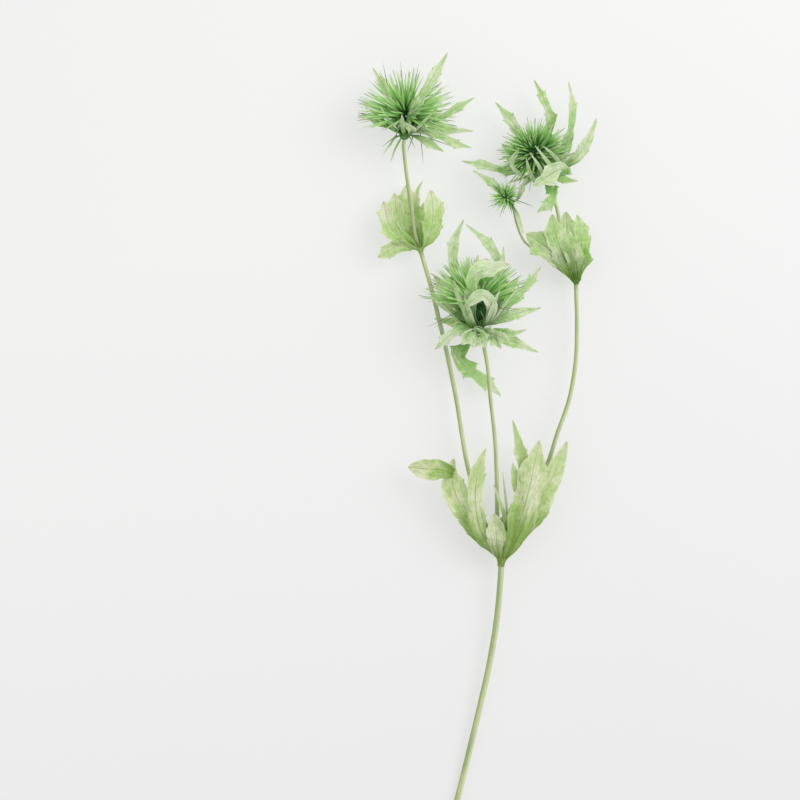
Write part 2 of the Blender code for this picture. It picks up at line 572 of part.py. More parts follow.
def head_spines(head, trees, collection):
    """Florets on the cone's top and spines all over it, each spine turned where its way is blocked."""
    draw = random.Random(head["seed"])
    for k in range(head["florets"]):
        polar = math.radians(FLORETS_REACH) * math.sqrt((k + 0.5) / head["florets"])
        out, skin = from_cone(head, polar, k * GOLDEN_ANGLE)
        size = head["cone_radius"] / CENTRE_HEAD["cone_radius"]
        if spine_is_clear(skin, skin + out * FLORET_LENGTH, FLORET_RADIUS, trees):
            spine(f"{head['name']}_floret_{k}", skin - out * SPINE_SINK, skin + out * (FLORET_LENGTH * size),
                  FLORET_RADIUS * size, 4, collection)
    shortest, longest = head["spine_length"]
    for k in range(head["spines"]):
        share = (k + 0.5) / head["spines"]
        for attempt in range(SPINE_TRIES):
            polar = math.radians(head["opening"]) * math.sqrt(share) + draw.uniform(-0.1, 0.1)
            around = 1.0 + k * GOLDEN_ANGLE + attempt * draw.uniform(-0.25, 0.25)
            out, skin = from_cone(head, polar, around)
            length = shortest + (longest - shortest) * math.sin(min(polar, 1.5)) * draw.uniform(0.75, 1.0)
            length *= 1 - 0.05 * attempt
            if spine_is_clear(skin, skin + out * length, SPINE_RADIUS, trees):
                spine(f"{head['name']}_spine_{k}", skin - out * SPINE_SINK, skin + out * length,
                      SPINE_RADIUS, 3, collection)
                break


def bractlets(head):
    """Narrow plain bracts between the large ones, evenly turned round the head's foot."""
    draw = random.Random(head["seed"] + 1)
    frame = axis_frame(head["axis"])
    rows = []
    for k in range(head["bractlets"]):
        around = 2 * math.pi * (k + draw.uniform(0.2, 0.8)) / head["bractlets"]
        polar = math.radians(head["bractlet_angle"] + draw.uniform(-9, 9))
        wide = frame @ Vector((math.cos(around), math.sin(around), 0))
        out = wide * math.sin(polar) + head["axis"] * math.cos(polar)
        length = head["bractlet_length"] * draw.uniform(0.8, 1.0)
        rise = head["cone_radius"] + BRACTLET_CLEAR_OF_CONE
        first = head["foot"] + wide * rise + head["axis"] * (rise * 0.35)
        points = [first, first + out * (length * 0.4), first + out * (length * 0.8)]
        rows.append(leaf(points, BRACTLET_WIDTH, 0, -wide))
    return rows


def bract_ring(head, bracts, finish, part):
    repeats = new_collection(head["name"] + "_bract_blades")
    foot = swelling(head["name"] + "_foot", head["foot"], head["foot_radius"], part)
    rooted_blades(head["name"], bracts + bractlets(head), head["foot"], head["axis"],
                  head["foot_radius"] * BRACT_RING_SHARE, BRACT_TOOTH_DEPTH, head, repeats)
    return joined(head["name"] + "_bracts", foot, repeats, part, finish)


def cone_with_spines(head, trees, finish, part):
    repeats = new_collection(head["name"] + "_spines")
    core = cone_core(head, part)
    head_spines(head, trees, repeats)
    return joined(head["name"] + "_cone", core, repeats, part, finish)


def leaf_whorl(name, leaves, centre, axis, stem_radius, finish, part):
    """Leaves on a ring that clasps the stem at its fork."""
    ring_radius = stem_radius + GAP + WHORL_RING_THICKNESS
    bpy.ops.mesh.primitive_torus_add(major_segments=10, minor_segments=4, major_radius=ring_radius * MM,
                                     minor_radius=WHORL_RING_THICKNESS * MM, location=centre * MM,
                                     rotation=axis.to_track_quat("Z", "Y").to_euler())
    ring = bpy.context.object
    ring.data.transform(ring.matrix_world)
    ring.matrix_world = Matrix.Identity(4)
    for owner in list(ring.users_collection):
        owner.objects.unlink(ring)
    part.objects.link(ring)
    repeats = new_collection(name + "_leaves")
    rooted_blades(name, leaves, centre, axis, ring_radius, LEAF_TOOTH_DEPTH, None, repeats)
    return joined(name, ring, repeats, part, finish)


def stem(part, finish):
    """The stem with its branches and stalks, grown as one."""
    tubes = new_collection("stem_tubes")

    def to_head(points, head):
        return short_of(points, head["foot"], head["foot_radius"])

    stem_tube("left_branch", LEFT_BRANCH, BRANCH_RADIUS, BRANCH_RADIUS, tubes)
    stem_tube("left_stalk", to_head(LEFT_STALK, LEFT_HEAD), STALK_RADIUS, STALK_RADIUS, tubes)
    stem_tube("centre_branch", to_head(CENTRE_BRANCH, CENTRE_HEAD), BRANCH_RADIUS, STALK_RADIUS, tubes)
    stem_tube("right_branch", RIGHT_BRANCH, BRANCH_RADIUS, BRANCH_RADIUS, tubes)
    stem_tube("right_stalk", to_head(RIGHT_STALK, RIGHT_HEAD), STALK_RADIUS, STALK_RADIUS, tubes)
    stem_tube("bud_stalk", to_head(BUD_STALK, BUD), BUD_STALK_RADIUS, BUD_STALK_RADIUS, tubes)
    swelling("main_fork", MAIN_FORK, MAIN_RADIUS * FORK_SWELLING, tubes)
    swelling("left_fork", LEFT_FORK, BRANCH_RADIUS * FORK_SWELLING, tubes)
    swelling("right_fork", RIGHT_FORK, BRANCH_RADIUS * FORK_SWELLING, tubes)
    trunk = stem_tube("trunk", MAIN_STEM, MAIN_RADIUS, MAIN_RADIUS, part)
    return joined("stem", trunk, tubes, part, finish)


def main():
    clear_scene()
    part = new_collection("sea_holly")
    stem_finish = material("stem_green", STEM_GREEN, 0.6)
    leaf_finish = material("leaf_green", LEAF_GREEN, 0.65)
    bract_finish = material("bract_green", BRACT_GREEN, 0.6)
    cone_finish = material("cone_green", CONE_GREEN, 0.7)
    for head in (LEFT_HEAD, CENTRE_HEAD, RIGHT_HEAD, BUD):
        head["axis"].normalize()

    built = [stem(part, stem_finish)]
    built.append(leaf_whorl("main_whorl", MAIN_WHORL, MAIN_FORK, Vector((0.1, 1, 0.06)).normalized(),
                            MAIN_RADIUS * FORK_SWELLING, leaf_finish, part))
    built.append(leaf_whorl("left_whorl", LEFT_WHORL, LEFT_FORK, Vector((-0.25, 1, 0.05)).normalized(),
                            BRANCH_RADIUS * FORK_SWELLING, leaf_finish, part))
    built.append(leaf_whorl("right_whorl", RIGHT_WHORL, RIGHT_FORK, Vector((-0.1, 1, -0.05)).normalized(),
                            BRANCH_RADIUS * FORK_SWELLING, leaf_finish, part))
    dressed = ((LEFT_HEAD, LEFT_HEAD_BRACTS), (CENTRE_HEAD, CENTRE_HEAD_BRACTS),
               (RIGHT_HEAD, RIGHT_HEAD_BRACTS), (BUD, BUD_BRACTS))
    for head, bracts in dressed:
        built.append(bract_ring(head, bracts, bract_finish, part))
    for head, _ in dressed:
        trees = [tree_of(obj) for obj in built]
        built.append(cone_with_spines(head, trees, cone_finish, part))
    for obj in built:
        obj.data.transform(Matrix.Translation(-ORIGIN * MM))


main()
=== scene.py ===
# Green sea holly stem, cut and laid down: one stem that forks at whorls of leaves, with three
# spiny flower heads and a bud. All lengths in the tables are millimetres, measured from a place
# near the main whorl, as in the CAD part; toWorld() turns them into metres round the footprint.

import math
import random

import bpy
from mathutils import Matrix, Vector, noise


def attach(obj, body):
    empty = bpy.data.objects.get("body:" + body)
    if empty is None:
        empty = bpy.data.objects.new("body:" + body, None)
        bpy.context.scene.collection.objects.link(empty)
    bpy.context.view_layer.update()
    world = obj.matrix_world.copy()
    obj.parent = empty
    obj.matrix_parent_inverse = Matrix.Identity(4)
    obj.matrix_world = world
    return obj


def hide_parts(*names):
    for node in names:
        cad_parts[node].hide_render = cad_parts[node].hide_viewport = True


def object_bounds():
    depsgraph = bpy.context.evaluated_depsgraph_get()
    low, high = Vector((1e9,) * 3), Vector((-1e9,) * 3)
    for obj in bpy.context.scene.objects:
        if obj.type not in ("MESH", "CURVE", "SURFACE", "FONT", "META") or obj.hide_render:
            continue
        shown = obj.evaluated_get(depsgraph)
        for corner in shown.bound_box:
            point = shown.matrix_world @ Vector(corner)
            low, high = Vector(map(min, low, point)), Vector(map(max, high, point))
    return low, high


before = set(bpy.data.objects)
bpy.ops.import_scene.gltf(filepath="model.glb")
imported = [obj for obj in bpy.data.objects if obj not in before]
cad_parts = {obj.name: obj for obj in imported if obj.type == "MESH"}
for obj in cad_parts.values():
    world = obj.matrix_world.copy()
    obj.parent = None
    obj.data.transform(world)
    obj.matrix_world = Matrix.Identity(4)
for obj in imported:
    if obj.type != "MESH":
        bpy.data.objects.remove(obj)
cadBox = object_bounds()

mm = 0.001
footprintMiddle = Vector((-14.1, 46.9, 0.0))


def forkAt(place, axis, radius):
    # where the stem forks, the way it comes in and how thick it is there
    return dict(place=Vector(place), axis=Vector(axis).normalized(), radius=radius)


mainFork = forkAt((1.5, -15.6, 12.0), (0.1, 1, 0.06), 1.9)
leftFork = forkAt((-47.7, 170.4, 14.0), (-0.25, 1, 0.05), 1.35)
rightFork = forkAt((46.1, 151.2, 13.0), (-0.1, 1, -0.05), 1.35)
forks = (mainFork, leftFork, rightFork)


def toWorld(point):
    return (point - footprintMiddle) * mm


def keptInside(start, end, margin):
    # shortens what would stand out of the CAD box
    way = end - start
    share = 1.0
    for i in range(3):
        low = cadBox[0][i] / mm + footprintMiddle[i] + margin
        high = cadBox[1][i] / mm + footprintMiddle[i] - margin
        if way[i] > 0:
            share = min(share, (high - start[i]) / way[i])
        if way[i] < 0:
            share = min(share, (low - start[i]) / way[i])
    return start + way * max(share, 0.05)


# the four heads: where they sit and how they bristle
leftHead = dict(
    name="left_head", foot=Vector((-57.0, 238.0, 21.0)), axis=Vector((0.06, 1.0, 0.2)), footRadius=3.2,
    coneRadius=7.0, coneLength=16.0, spineLength=(19.0, 24.0), opening=104, florets=150, hairs=12,
    bractlets=10, bractletLength=27.0, bractletAngle=50, spines=215, spineBreadth=1.35, seed=11, strayLines=[
        ((-52.0, 237.0, 20), (-55.2, 228.2, 19)), ((-47.6, 240.0, 22), (-45.8, 221.2, 20)),
        ((-54.0, 237.0, 22), (-50.8, 230.4, 21)), ((-42.0, 236.0, 22), (-28.9, 231.1, 22)),
        ((-45.0, 262.0, 27), (-34.8, 268.7, 30)), ((-45.0, 260.0, 29), (-35.6, 262.6, 32)),
        ((-61.5, 238.0, 20), (-70.2, 231.2, 19)), ((-66.0, 262.0, 26), (-70.0, 280.4, 30)),
        ((-57.6, 262.0, 26), (-59.4, 281.0, 30)), ((-52.0, 262.0, 26), (-48.6, 279.6, 30))])
centreHead = dict(
    name="centre_head", foot=Vector((-12.9, 122.4, 25.0)), axis=Vector((-0.08, 1.0, 0.12)), footRadius=3.8,
    coneRadius=8.0, coneLength=19.0, spineLength=(18.5, 26.0), opening=79, florets=150, hairs=12,
    bractlets=11, bractletLength=36.0, bractletAngle=38, spines=250, spineBreadth=1.6, seed=23, strayLines=[],
    roof=(-22.0, 8.0, 128.0, 163.0, 37.0))     # reach of the folded bracts in x and in y, their height
rightHead = dict(
    name="right_head", foot=Vector((25.8, 217.2, 13.0)), axis=Vector((-0.34, 0.68, 0.65)), footRadius=3.4,
    coneRadius=7.6, coneLength=19.0, spineLength=(7.0, 17.0), opening=104, florets=150, hairs=12,
    bractlets=10, bractletLength=20.0, bractletAngle=68, spines=235, spineBreadth=1.25, seed=37,
    strayLines=[])
budHead = dict(
    name="bud", foot=Vector((7.2, 197.4, 15.0)), axis=Vector((-0.5, 0.5, 0.7)), footRadius=1.9,
    coneRadius=3.2, coneLength=8.0, spineLength=(4.0, 8.5), opening=100, florets=50, hairs=9,
    bractlets=0, bractletLength=0.0, bractletAngle=0, spines=60, spineBreadth=1.0, seed=41, strayLines=[
        ((9.0, 199.4, 20), (20.6, 194.9, 22)), ((3.4, 198.6, 20), (-6.8, 195.0, 21)),
        ((3.0, 199.6, 20), (-3.7, 198.4, 22)), ((4.8, 198.2, 20), (2.2, 191.8, 21)),
        ((6.2, 198.2, 20), (7.4, 190.0, 21)), ((2.6, 203.0, 20), (-5.0, 208.5, 22))])
for head in (leftHead, centreHead, rightHead, budHead):
    head["axis"].normalize()


def leaf(points, width, teeth, face=(0, 0, 1), rests=False, rooted=True, widest=0.52, tone=None):
    # tone runs from 0, deep green, to 1, pale, and a little past it; without one it is drawn by chance
    return dict(points=[Vector(p) for p in points], width=width, teeth=teeth, face=Vector(face).normalized(),
                rests=rests, rooted=rooted, widest=widest, tone=tone)


mainWhorlLeaves = [
    leaf([(-9, -7, 16), (-14.6, 1, 19), (-21, 11, 22), (-26, 22, 22.5), (-28.6, 33, 22), (-27.7, 44.2, 20)],
         14, 2, (-0.5, 0.1, 1), widest=0.66),
    leaf([(-27.6, 35.4, 22.6), (-35, 37.6, 25), (-44.6, 38, 25), (-55, 39, 23)], 13, 0, (0, -0.2, 1),
         rooted=False, tone=1.5),
    leaf([(-6.6, -8.6, 19), (-11.8, 1, 23), (-14.2, 12, 25.5), (-14.8, 24, 26.5), (-13.2, 37, 26.5),
          (-8.4, 50.2, 24)], 10.5, 2, (0.2, 0, 1)),
    leaf([(-1.6, -9, 20), (-2.2, 0, 22.8), (-3.2, 11.4, 22.5)], 11, 1, widest=0.58),
    leaf([(6.3, -6, 19), (12, 15, 22), (15.4, 33, 23), (13, 47, 24), (7.7, 67.2, 24)], 8, 2, (-0.3, 0, 1)),
    leaf([(7.4, -7.6, 20), (13, 10.2, 25), (17.4, 26.4, 27), (20.8, 42, 27), (23.6, 55, 25)],
         17.5, 2, (0.1, 0, 1)),
    leaf([(12.4, 17, 26.6), (10.2, 29, 27), (7.6, 41.6, 26)], 6, 0, rooted=False),
    leaf([(9.3, -9.6, 15), (19, 6, 18), (27, 21.6, 20), (33.8, 38.4, 20), (40.6, 54.4, 19)],
         13.5, 2, (0.6, -0.2, 1), widest=0.6),
    leaf([(-7.8, -6, 6), (-18, 10.8, 3), (-25.2, 25.2, 3), (-30, 36, 4)], 14, 3, (-0.2, 0, 1)),
    leaf([(1.6, -6, 3), (2.2, 2, 2.4), (2.4, 9, 3)], 12, 1),
    leaf([(9, -6, 6), (19.2, 12, 3), (27, 30, 3), (31.2, 45, 4)], 14, 3, (0.2, 0, 1)),
    leaf([(3, -9, 20), (3.8, 6, 21), (-3.6, 28.8, 22.5)], 2.6, 0),
    leaf([(3.2, -9, 19), (4.6, 9, 20), (1.8, 36, 21.5)], 1.7, 0, (-0.5, 0, 1)),
]
leftWhorlLeaves = [
    leaf([(-43.4, 174.6, 18), (-40.6, 184, 20.5), (-40, 194.6, 21), (-41.2, 205, 20)], 13, 2, (0.3, 0, 1)),
    leaf([(-48.3, 176.4, 8), (-51.6, 186, 7.5), (-54.4, 196.4, 9), (-55.8, 208.6, 11)], 15, 3, widest=0.6),
    leaf([(-53.6, 175.2, 11), (-58.6, 182.4, 12), (-61.8, 192, 13.5), (-63, 203.6, 13)], 12, 3, (-0.2, 0, 1)),
    leaf([(-53.4, 173.4, 18), (-60, 177, 20), (-66.4, 185, 20), (-69.6, 198.4, 18)], 11, 3, (-0.2, -0.1, 1)),
    leaf([(-53.7, 171, 18), (-61, 171.6, 18), (-73, 165, 14)], 9, 2, (-0.1, -0.3, 1)),
    leaf([(-46.6, 177, 5), (-46, 188, 2.5), (-45.6, 198, 2.5)], 11, 2),
    leaf([(-50.6, 192, 8), (-49.6, 204, 9), (-46.2, 211, 10)], 2.4, 0, rooted=False),
]
rightWhorlLeaves = [
    leaf([(41.4, 159, 18), (35, 165, 21.5), (27, 171.6, 22), (16, 178.8, 20)],
         15, 2, (-0.1, -0.2, 1), widest=0.66),
    leaf([(41.4, 159, 20), (36, 170, 25), (32.6, 181, 25), (31.4, 190.4, 23)], 13, 2, (-0.1, -0.1, 1)),
    leaf([(44.4, 160, 5), (42.2, 171, 3.6), (41.2, 182, 4), (40.5, 193, 5)], 15, 3),
    leaf([(47, 159, 19), (48.6, 169, 21.5), (48.6, 180, 20.5), (46.6, 190.4, 18)], 10, 2, (0.4, 0, 1)),
    leaf([(45, 160, 20), (43.6, 168, 24), (41.8, 175.4, 25), (40.6, 181.4, 24)], 9.5, 1),
    leaf([(49.8, 158, 13), (51.6, 164.6, 13), (51.2, 174, 13), (48.8, 184, 12)], 8, 2, (0.8, 0, 1)),
]
leftHeadBracts = [
    leaf([(-54.6, 245, 33), (-45.6, 262.2, 36), (-37.2, 276, 35), (-31.2, 286.2, 32)],
         6.4, 2, (0.3, -0.1, 1), tone=1.0),
    leaf([(-48, 243.6, 25), (-36, 247.2, 26.5), (-27, 252.6, 27), (-15.3, 260.1, 25)],
         5.4, 2, (-0.2, 0.3, 1)),
    leaf([(-45, 241.2, 15), (-30, 241.8, 11), (-15.6, 241.2, 10)], 5.0, 1),
    leaf([(-48, 240, 27), (-37.2, 237.6, 28), (-27, 232.8, 25), (-17.1, 230.4, 21)], 5.4, 2, (0.2, -0.3, 1)),
    leaf([(-49.2, 236.6, 23), (-42, 232.8, 23), (-33.6, 228, 21)], 4.6, 1),
    leaf([(-52, 239.4, 31), (-54.6, 241.8, 38), (-60.6, 244.5, 41)], 4.4, 0, (0.3, -0.8, 0.5), tone=1.3),
    leaf([(-62.4, 249, 29), (-67.8, 262.8, 31), (-75.6, 277.2, 29)], 5.0, 2, (-0.3, 0, 1), tone=1.2),
    leaf([(-64.2, 242, 25), (-71, 245, 24), (-83, 251, 21)], 5.0, 1, (0, 0.3, 1)),
    leaf([(-62.6, 236, 25), (-65.6, 232, 25.5), (-69.6, 226.4, 25)], 1.2, 0, tone=0.0),
    leaf([(-57.4, 246, 7), (-60, 256, -3), (-62.4, 270, -3)], 6.0, 1, rests=True),
    leaf([(-48, 249, 8), (-40.8, 261, 3), (-34.6, 268, 3)], 3.6, 1, (0.2, 0, 1)),
    leaf([(-60.6, 234, 12), (-63, 229.6, 8), (-65.4, 222.6, 6)], 1.2, 0, (-0.2, 0, 1), tone=0.0),
]
centreHeadBracts = [
    leaf([(-22.8, 136, 21), (-27.4, 158, 23), (-27, 174, 25), (-21.6, 187, 27)],
         6.8, 2, (-0.3, 0, 1), tone=1.2),
    leaf([(-3, 136, 19), (0.4, 157, 21), (-7, 172, 26), (-20.4, 184, 32)], 6.0, 2, (0.4, 0, 1), tone=0.3),
    leaf([(-0.4, 138, 28), (1.2, 156, 30), (2.1, 170.6, 29)], 4.8, 1, (0.2, 0, 1)),
    leaf([(-16.6, 131, 35.5), (-17.4, 143, 42.5), (-15.6, 152.6, 46), (-7, 156.8, 46), (5.2, 159.8, 42)],
         10.0, 2, (-0.1, 0.2, 1), widest=0.7, tone=1.7),
    leaf([(-6.4, 128.6, 36), (-5.6, 136, 43), (-11.6, 141, 46), (-22, 134.2, 46)],
         7.4, 0, (0, 0.3, 1), widest=0.7, tone=1.3),
    leaf([(-3, 129, 29), (7.2, 138.6, 31), (15.6, 147.2, 31), (24.3, 158.8, 30)], 6.4, 3, (0.2, -0.2, 1)),
    leaf([(-1.2, 126.6, 27), (10.8, 131, 27), (24.6, 134.4, 25)], 5.6, 1, (0, -0.2, 1), tone=1.2),
    leaf([(-3, 120.4, 32), (7.2, 119, 35), (15.6, 121.2, 33)], 4.4, 1, (0, -0.3, 1)),
    leaf([(-4.8, 117.4, 29), (9, 113.6, 27), (23, 107.7, 25)], 5.6, 1, (0, -0.3, 1), tone=1.4),
    leaf([(-20.4, 122.6, 31), (-28.8, 118.6, 32), (-38.7, 109.5, 29)], 6.4, 2, (-0.1, -0.2, 1), tone=1.5),
    leaf([(-22, 131, 26), (-31.2, 142.4, 26), (-39.6, 153, 26)], 7.4, 3, (-0.3, 0, 1)),
    leaf([(-23, 127.4, 23), (-31.8, 134.6, 22.5), (-41.4, 143, 22)], 5.0, 2, (-0.2, 0, 1)),
    leaf([(-19.6, 131, 37), (-25.2, 141.8, 40), (-28.2, 150.6, 40)], 4.6, 0, (-0.4, 0, 1)),
    leaf([(-15.6, 120, 32), (-19.6, 116.4, 37), (-23.2, 112, 39)], 8.4, 2, (-0.2, -0.6, 1), tone=1.4),
    leaf([(-11.8, 119.4, 33), (-10.8, 115.4, 38), (-9, 110.2, 41)], 10.0, 2, (0, -0.7, 1), tone=1.5),
    leaf([(-7.4, 120, 32), (-0.6, 117, 36), (5.8, 113.8, 37)], 8.4, 2, (0.2, -0.6, 1), tone=1.4),
    leaf([(-13.6, 136, 10), (-18, 152, 3), (-19.2, 165, 2)], 6.4, 2),
    leaf([(-3.6, 131, 11), (4.8, 142.8, 4), (12, 153, 3)], 5.8, 2, (0.2, 0, 1)),
    leaf([(-22, 125, 11), (-30.4, 126.6, 4), (-39, 128.4, 2)], 5.4, 1),
    leaf([(-19.6, 113.4, 16), (-25.4, 106.6, 12), (-18.4, 97.6, 10), (-7.4, 89.4, 10), (1.2, 81.6, 11)],
         9.6, 3, (0.1, 0.1, 1), tone=0.2),
]
rightHeadBracts = [
    leaf([(17, 229, 9), (9.6, 243, 15), (3.6, 250.8, 19), (-2.5, 257.5, 21)], 6.4, 2, (-0.2, 0.2, 1)),
    leaf([(27.6, 229.2, 11), (30.6, 247.2, 18), (26.4, 259.2, 21), (20.4, 271, 23)], 5.8, 3, tone=0.1),
    leaf([(36, 226, 14), (42.6, 242, 20), (43.4, 256.4, 25), (41, 269.2, 27)], 5.2, 2, (0.4, 0, 1), tone=0.8),
    leaf([(36.6, 218.8, 16), (45.4, 224.4, 21), (52.8, 235.2, 25), (57.8, 247.4, 27)],
         6.0, 1, (0.3, -0.2, 1), tone=1.5),
    leaf([(33.4, 213, 19), (37.4, 216, 30), (33.6, 215.6, 38), (19.2, 206.4, 41)],
         11, 2, (0.3, -0.4, 1), widest=0.66, tone=0.3),
    leaf([(29.4, 209.6, 16), (32, 203, 18), (29.6, 197.4, 19), (22.6, 191.7, 19)],
         7.0, 2, (0, -0.2, 1), tone=0.4),
    leaf([(15, 217.2, 13), (3, 217.2, 15), (-9, 220.2, 17), (-22.8, 222.6, 17)],
         5.4, 2, (0, -0.2, 1), tone=1.2),
    leaf([(34.6, 213.4, 14), (41, 211.4, 14), (47, 210.8, 15)], 4.2, 1),
    leaf([(22.4, 209.6, 19), (17.6, 214.6, 34), (15, 222.8, 42)], 2.8, 0, (-0.1, -0.7, 0.7)),
    leaf([(16, 213, 18), (7.4, 218.6, 30), (10.8, 227, 37)], 2.8, 0, (-0.6, -0.3, 0.7)),
    leaf([(18, 222, 4), (9, 228, 2), (1.8, 234, 2)], 6.0, 1),
    leaf([(35, 222, 5), (41, 231, -3), (45.6, 241.2, -3)], 6.0, 1, rests=True),
]
centreHeadInnerBracts = [
    leaf([(-13.8, 119.2, 33), (-15.8, 115.4, 37), (-16.4, 110.6, 39)], 8.6, 2, (-0.1, -0.6, 1), tone=1.5),
    leaf([(-5.4, 118.8, 32), (-2.4, 114.6, 34.5), (0.4, 109.8, 35.5)], 7.6, 2, (0.1, -0.6, 1), tone=1.4),
]
rightHeadInnerBracts = [
    leaf([(29.6, 212.6, 19), (32.6, 214.4, 33), (27.5, 220.9, 42), (20.2, 229.9, 44)],
         2.6, 0, (0.4, -0.5, 1)),
    leaf([(32, 214.4, 18), (35.6, 218.6, 32), (31.3, 224.8, 39), (24.9, 229.9, 41)], 2.6, 0, (0.4, -0.5, 1)),
    leaf([(25.4, 210.4, 19), (25.6, 212.6, 33), (22.1, 219, 42), (17.1, 225.7, 43)], 2.4, 0, (0, -0.6, 1)),
    leaf([(19.4, 211.4, 18), (10.4, 215, 30), (6, 221.4, 37), (10.6, 228, 42)], 2.4, 0, (-0.3, -0.4, 1)),
]
budBracts = [
    leaf([(-0.6, 205.6, 20), (-7.2, 211, 22), (-16, 216.5, 22)], 4.0, 1, (0, 0.2, 1)),
    leaf([(11.4, 201, 19), (13.6, 207, 22), (15.8, 212.6, 23.6)], 3.2, 1, (0.3, -0.4, 1)),
    leaf([(10.8, 190, 17.6), (12.6, 184.6, 17), (14.4, 179.4, 15.5)], 2.6, 0, (0.2, 0, 1)),
]


# everyday helpers

def focusOn(*chosen):
    # selects these alone and makes the first one active
    bpy.ops.object.select_all(action="DESELECT")
    for obj in chosen:
        obj.select_set(True)
    bpy.context.view_layer.objects.active = chosen[0]


def applyModifier(obj, kind, **settings):
    focusOn(obj)
    added = obj.modifiers.new(kind.title(), kind)
    for key, value in settings.items():
        setattr(added, key, value)
    bpy.ops.object.modifier_apply(modifier=added.name)


def tintPoints(mesh, tints):
    # three numbers for each point, which the finishes read; a leaf's are its tone, share and edge
    attribute = mesh.color_attributes.new("tint", "FLOAT_COLOR", "POINT")
    for entry, numbers in zip(attribute.data, tints):
        entry.color = (*numbers, 1.0)


def tintWhole(obj, numbers):
    tintPoints(obj.data, [numbers] * len(obj.data.vertices))


def joinPieces(name, pieces):
    focusOn(*pieces)
    bpy.ops.object.join()
    joined = bpy.context.object
    joined.name = name
    joined.data.name = name
    return joined


def finishPiece(piece, node, material):
    piece.data.materials.clear()
    piece.data.materials.append(material)
    focusOn(piece)
    bpy.ops.object.shade_smooth_by_angle(angle=math.radians(50))
    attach(piece, "root")
    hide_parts(node)
    print(f"{piece.name}: {len(piece.data.polygons)} faces")


# lines that leaves and stems follow

def smoothLine(points, perSpan=10):
    knots = [2 * points[0] - points[1], *points, 2 * points[-1] - points[-2]]
    line = []
    for a, b, c, d in zip(knots, knots[1:], knots[2:], knots[3:]):
        for i in range(perSpan):
            t = i / perSpan
            line.append(0.5 * (2 * b + (c - a) * t + (2 * a - 5 * b + 4 * c - d) * t * t
                               + (3 * b - a - 3 * c + d) * t ** 3))
    return line + [points[-1]]


class Track:
    # a smooth line that can be asked for its point and direction at any share of its length
    def __init__(self, points):
        self.line = smoothLine(points)
        self.reached = [0.0]
        for a, b in zip(self.line, self.line[1:]):
            self.reached.append(self.reached[-1] + (b - a).length)
        self.length = self.reached[-1]

    def at(self, share):
        want = min(max(share, 0.0), 1.0) * self.length
        low, high = 0, len(self.line) - 1
        while high - low > 1:
            middle = (low + high) // 2
            if self.reached[middle] < want:
                low = middle
            else:
                high = middle
        part = (want - self.reached[low]) / max(self.reached[high] - self.reached[low], 1e-9)
        return self.line[low].lerp(self.line[high], min(max(part, 0.0), 1.0))

    def along(self, share, reach=0.05):
        return (self.at(share + reach) - self.at(share - reach)).normalized()


def axisFrame(axis):
    return axis.to_track_quat("Z", "Y").to_matrix()


def pointing(polar, around):
    return Vector((math.sin(polar) * math.cos(around), math.sin(polar) * math.sin(around), math.cos(polar)))


def coneCentre(head):
    return head["foot"] + head["axis"] * (head["footRadius"] + coneLook["footGap"] + head["coneLength"] / 2)


# leaves and bracts
bladeLook = dict(
    rowsAlong=72,          # cells from root to tip
    rowsAcross=8,          # cells from edge to edge
    thickness=0.42,
    fold=0.22,             # how far the edges rise from the midrib, in half widths
    rootShare=0.42,        # width at the root, in greatest widths
    neck=0.5,              # how far a broad leaf narrows at its foot
    neckEnds=0.17,
    neckFrom=7.6,          # least width of a leaf with a neck
    neckWidest=0.67,       # leaves that are widest past this have none
    leafTooth=0.16,        # depths of teeth, in half widths
    bractTooth=0.32,
    teethFrom=0.16,        # the stretch of a blade that has teeth
    teethTo=0.88,
    toothSharpness=1.5,
    fineTeeth=3,           # small teeth for each large one
    fineTooth=0.13,
    fineRise=0.75,         # share of a small tooth on its way up
    edgeWave=0.26,         # ruffle of the edges, in half widths
    crumple=0.8,
    tipHalf=0.16,
    surfaceGap=0.55,       # over the surface that the stem lies on
    surfaceSoftness=1.6,
    rootTurnEnds=0.35,     # where a blade has turned from its ring to its face
    coneMargin=1.2,
    narrowBelow=3.0,       # narrow blades are flat and have fewer cells
    toothSpine=2.1,        # length of the bristle on a tooth
    toothSpineRadius=0.26,
    bristleClear=0.4,      # its least height over the surface
)


def halfWidth(share, spec):
    half, widest = spec["width"] / 2, spec["widest"]
    if spec["width"] > bladeLook["neckFrom"] and spec["rooted"] and widest < bladeLook["neckWidest"]:
        neck = min(max(share, 0.0) / bladeLook["neckEnds"], 1.0)
        half *= bladeLook["neck"] + (1 - bladeLook["neck"]) * neck * (2 - neck)
    if share < widest:
        swell = math.sin(math.pi / 2 * share / widest) ** (1 if widest < 0.6 else 2)
        return half * (bladeLook["rootShare"] + (1 - bladeLook["rootShare"]) * swell)
    return half * max(math.cos(math.pi / 2 * (share - widest) / (1 - widest)), 0.0) ** 0.7


def toothAt(share, spec, depth, shift):
    # (factor on the half width, forward lean) of the toothed edge at this share
    teeth = spec["teeth"]
    if teeth == 0:
        return 1.0, 0.0
    first, last = bladeLook["teethFrom"], bladeLook["teethTo"]
    step = (last - first) / (2 * teeth)
    place = (share - first) / step
    fade = 1 - max(share, 0.0) ** 4
    saw = (place * bladeLook["fineTeeth"] / 2 + shift) % 1.0
    up = bladeLook["fineRise"]
    fine = (saw / up if saw < up else (1 - saw) / (1 - up)) - 0.5
    fine *= bladeLook["fineTooth"] * min(max(place + 0.6, 0.0), 1.0) * (1 - max(share, 0.0) ** 8)
    if place < 0:
        return 1 - depth * share / first + fine, 0.0
    if place > 2 * teeth:
        return 1 - depth * fade + fine, 0.0
    local = place % 2
    rise = local if local <= 1 else 2 - local
    coarse = (2 * rise ** bladeLook["toothSharpness"] - 1) * depth * fade
    return 1 + coarse + fine, min(0.7 * step, 0.08) * rise


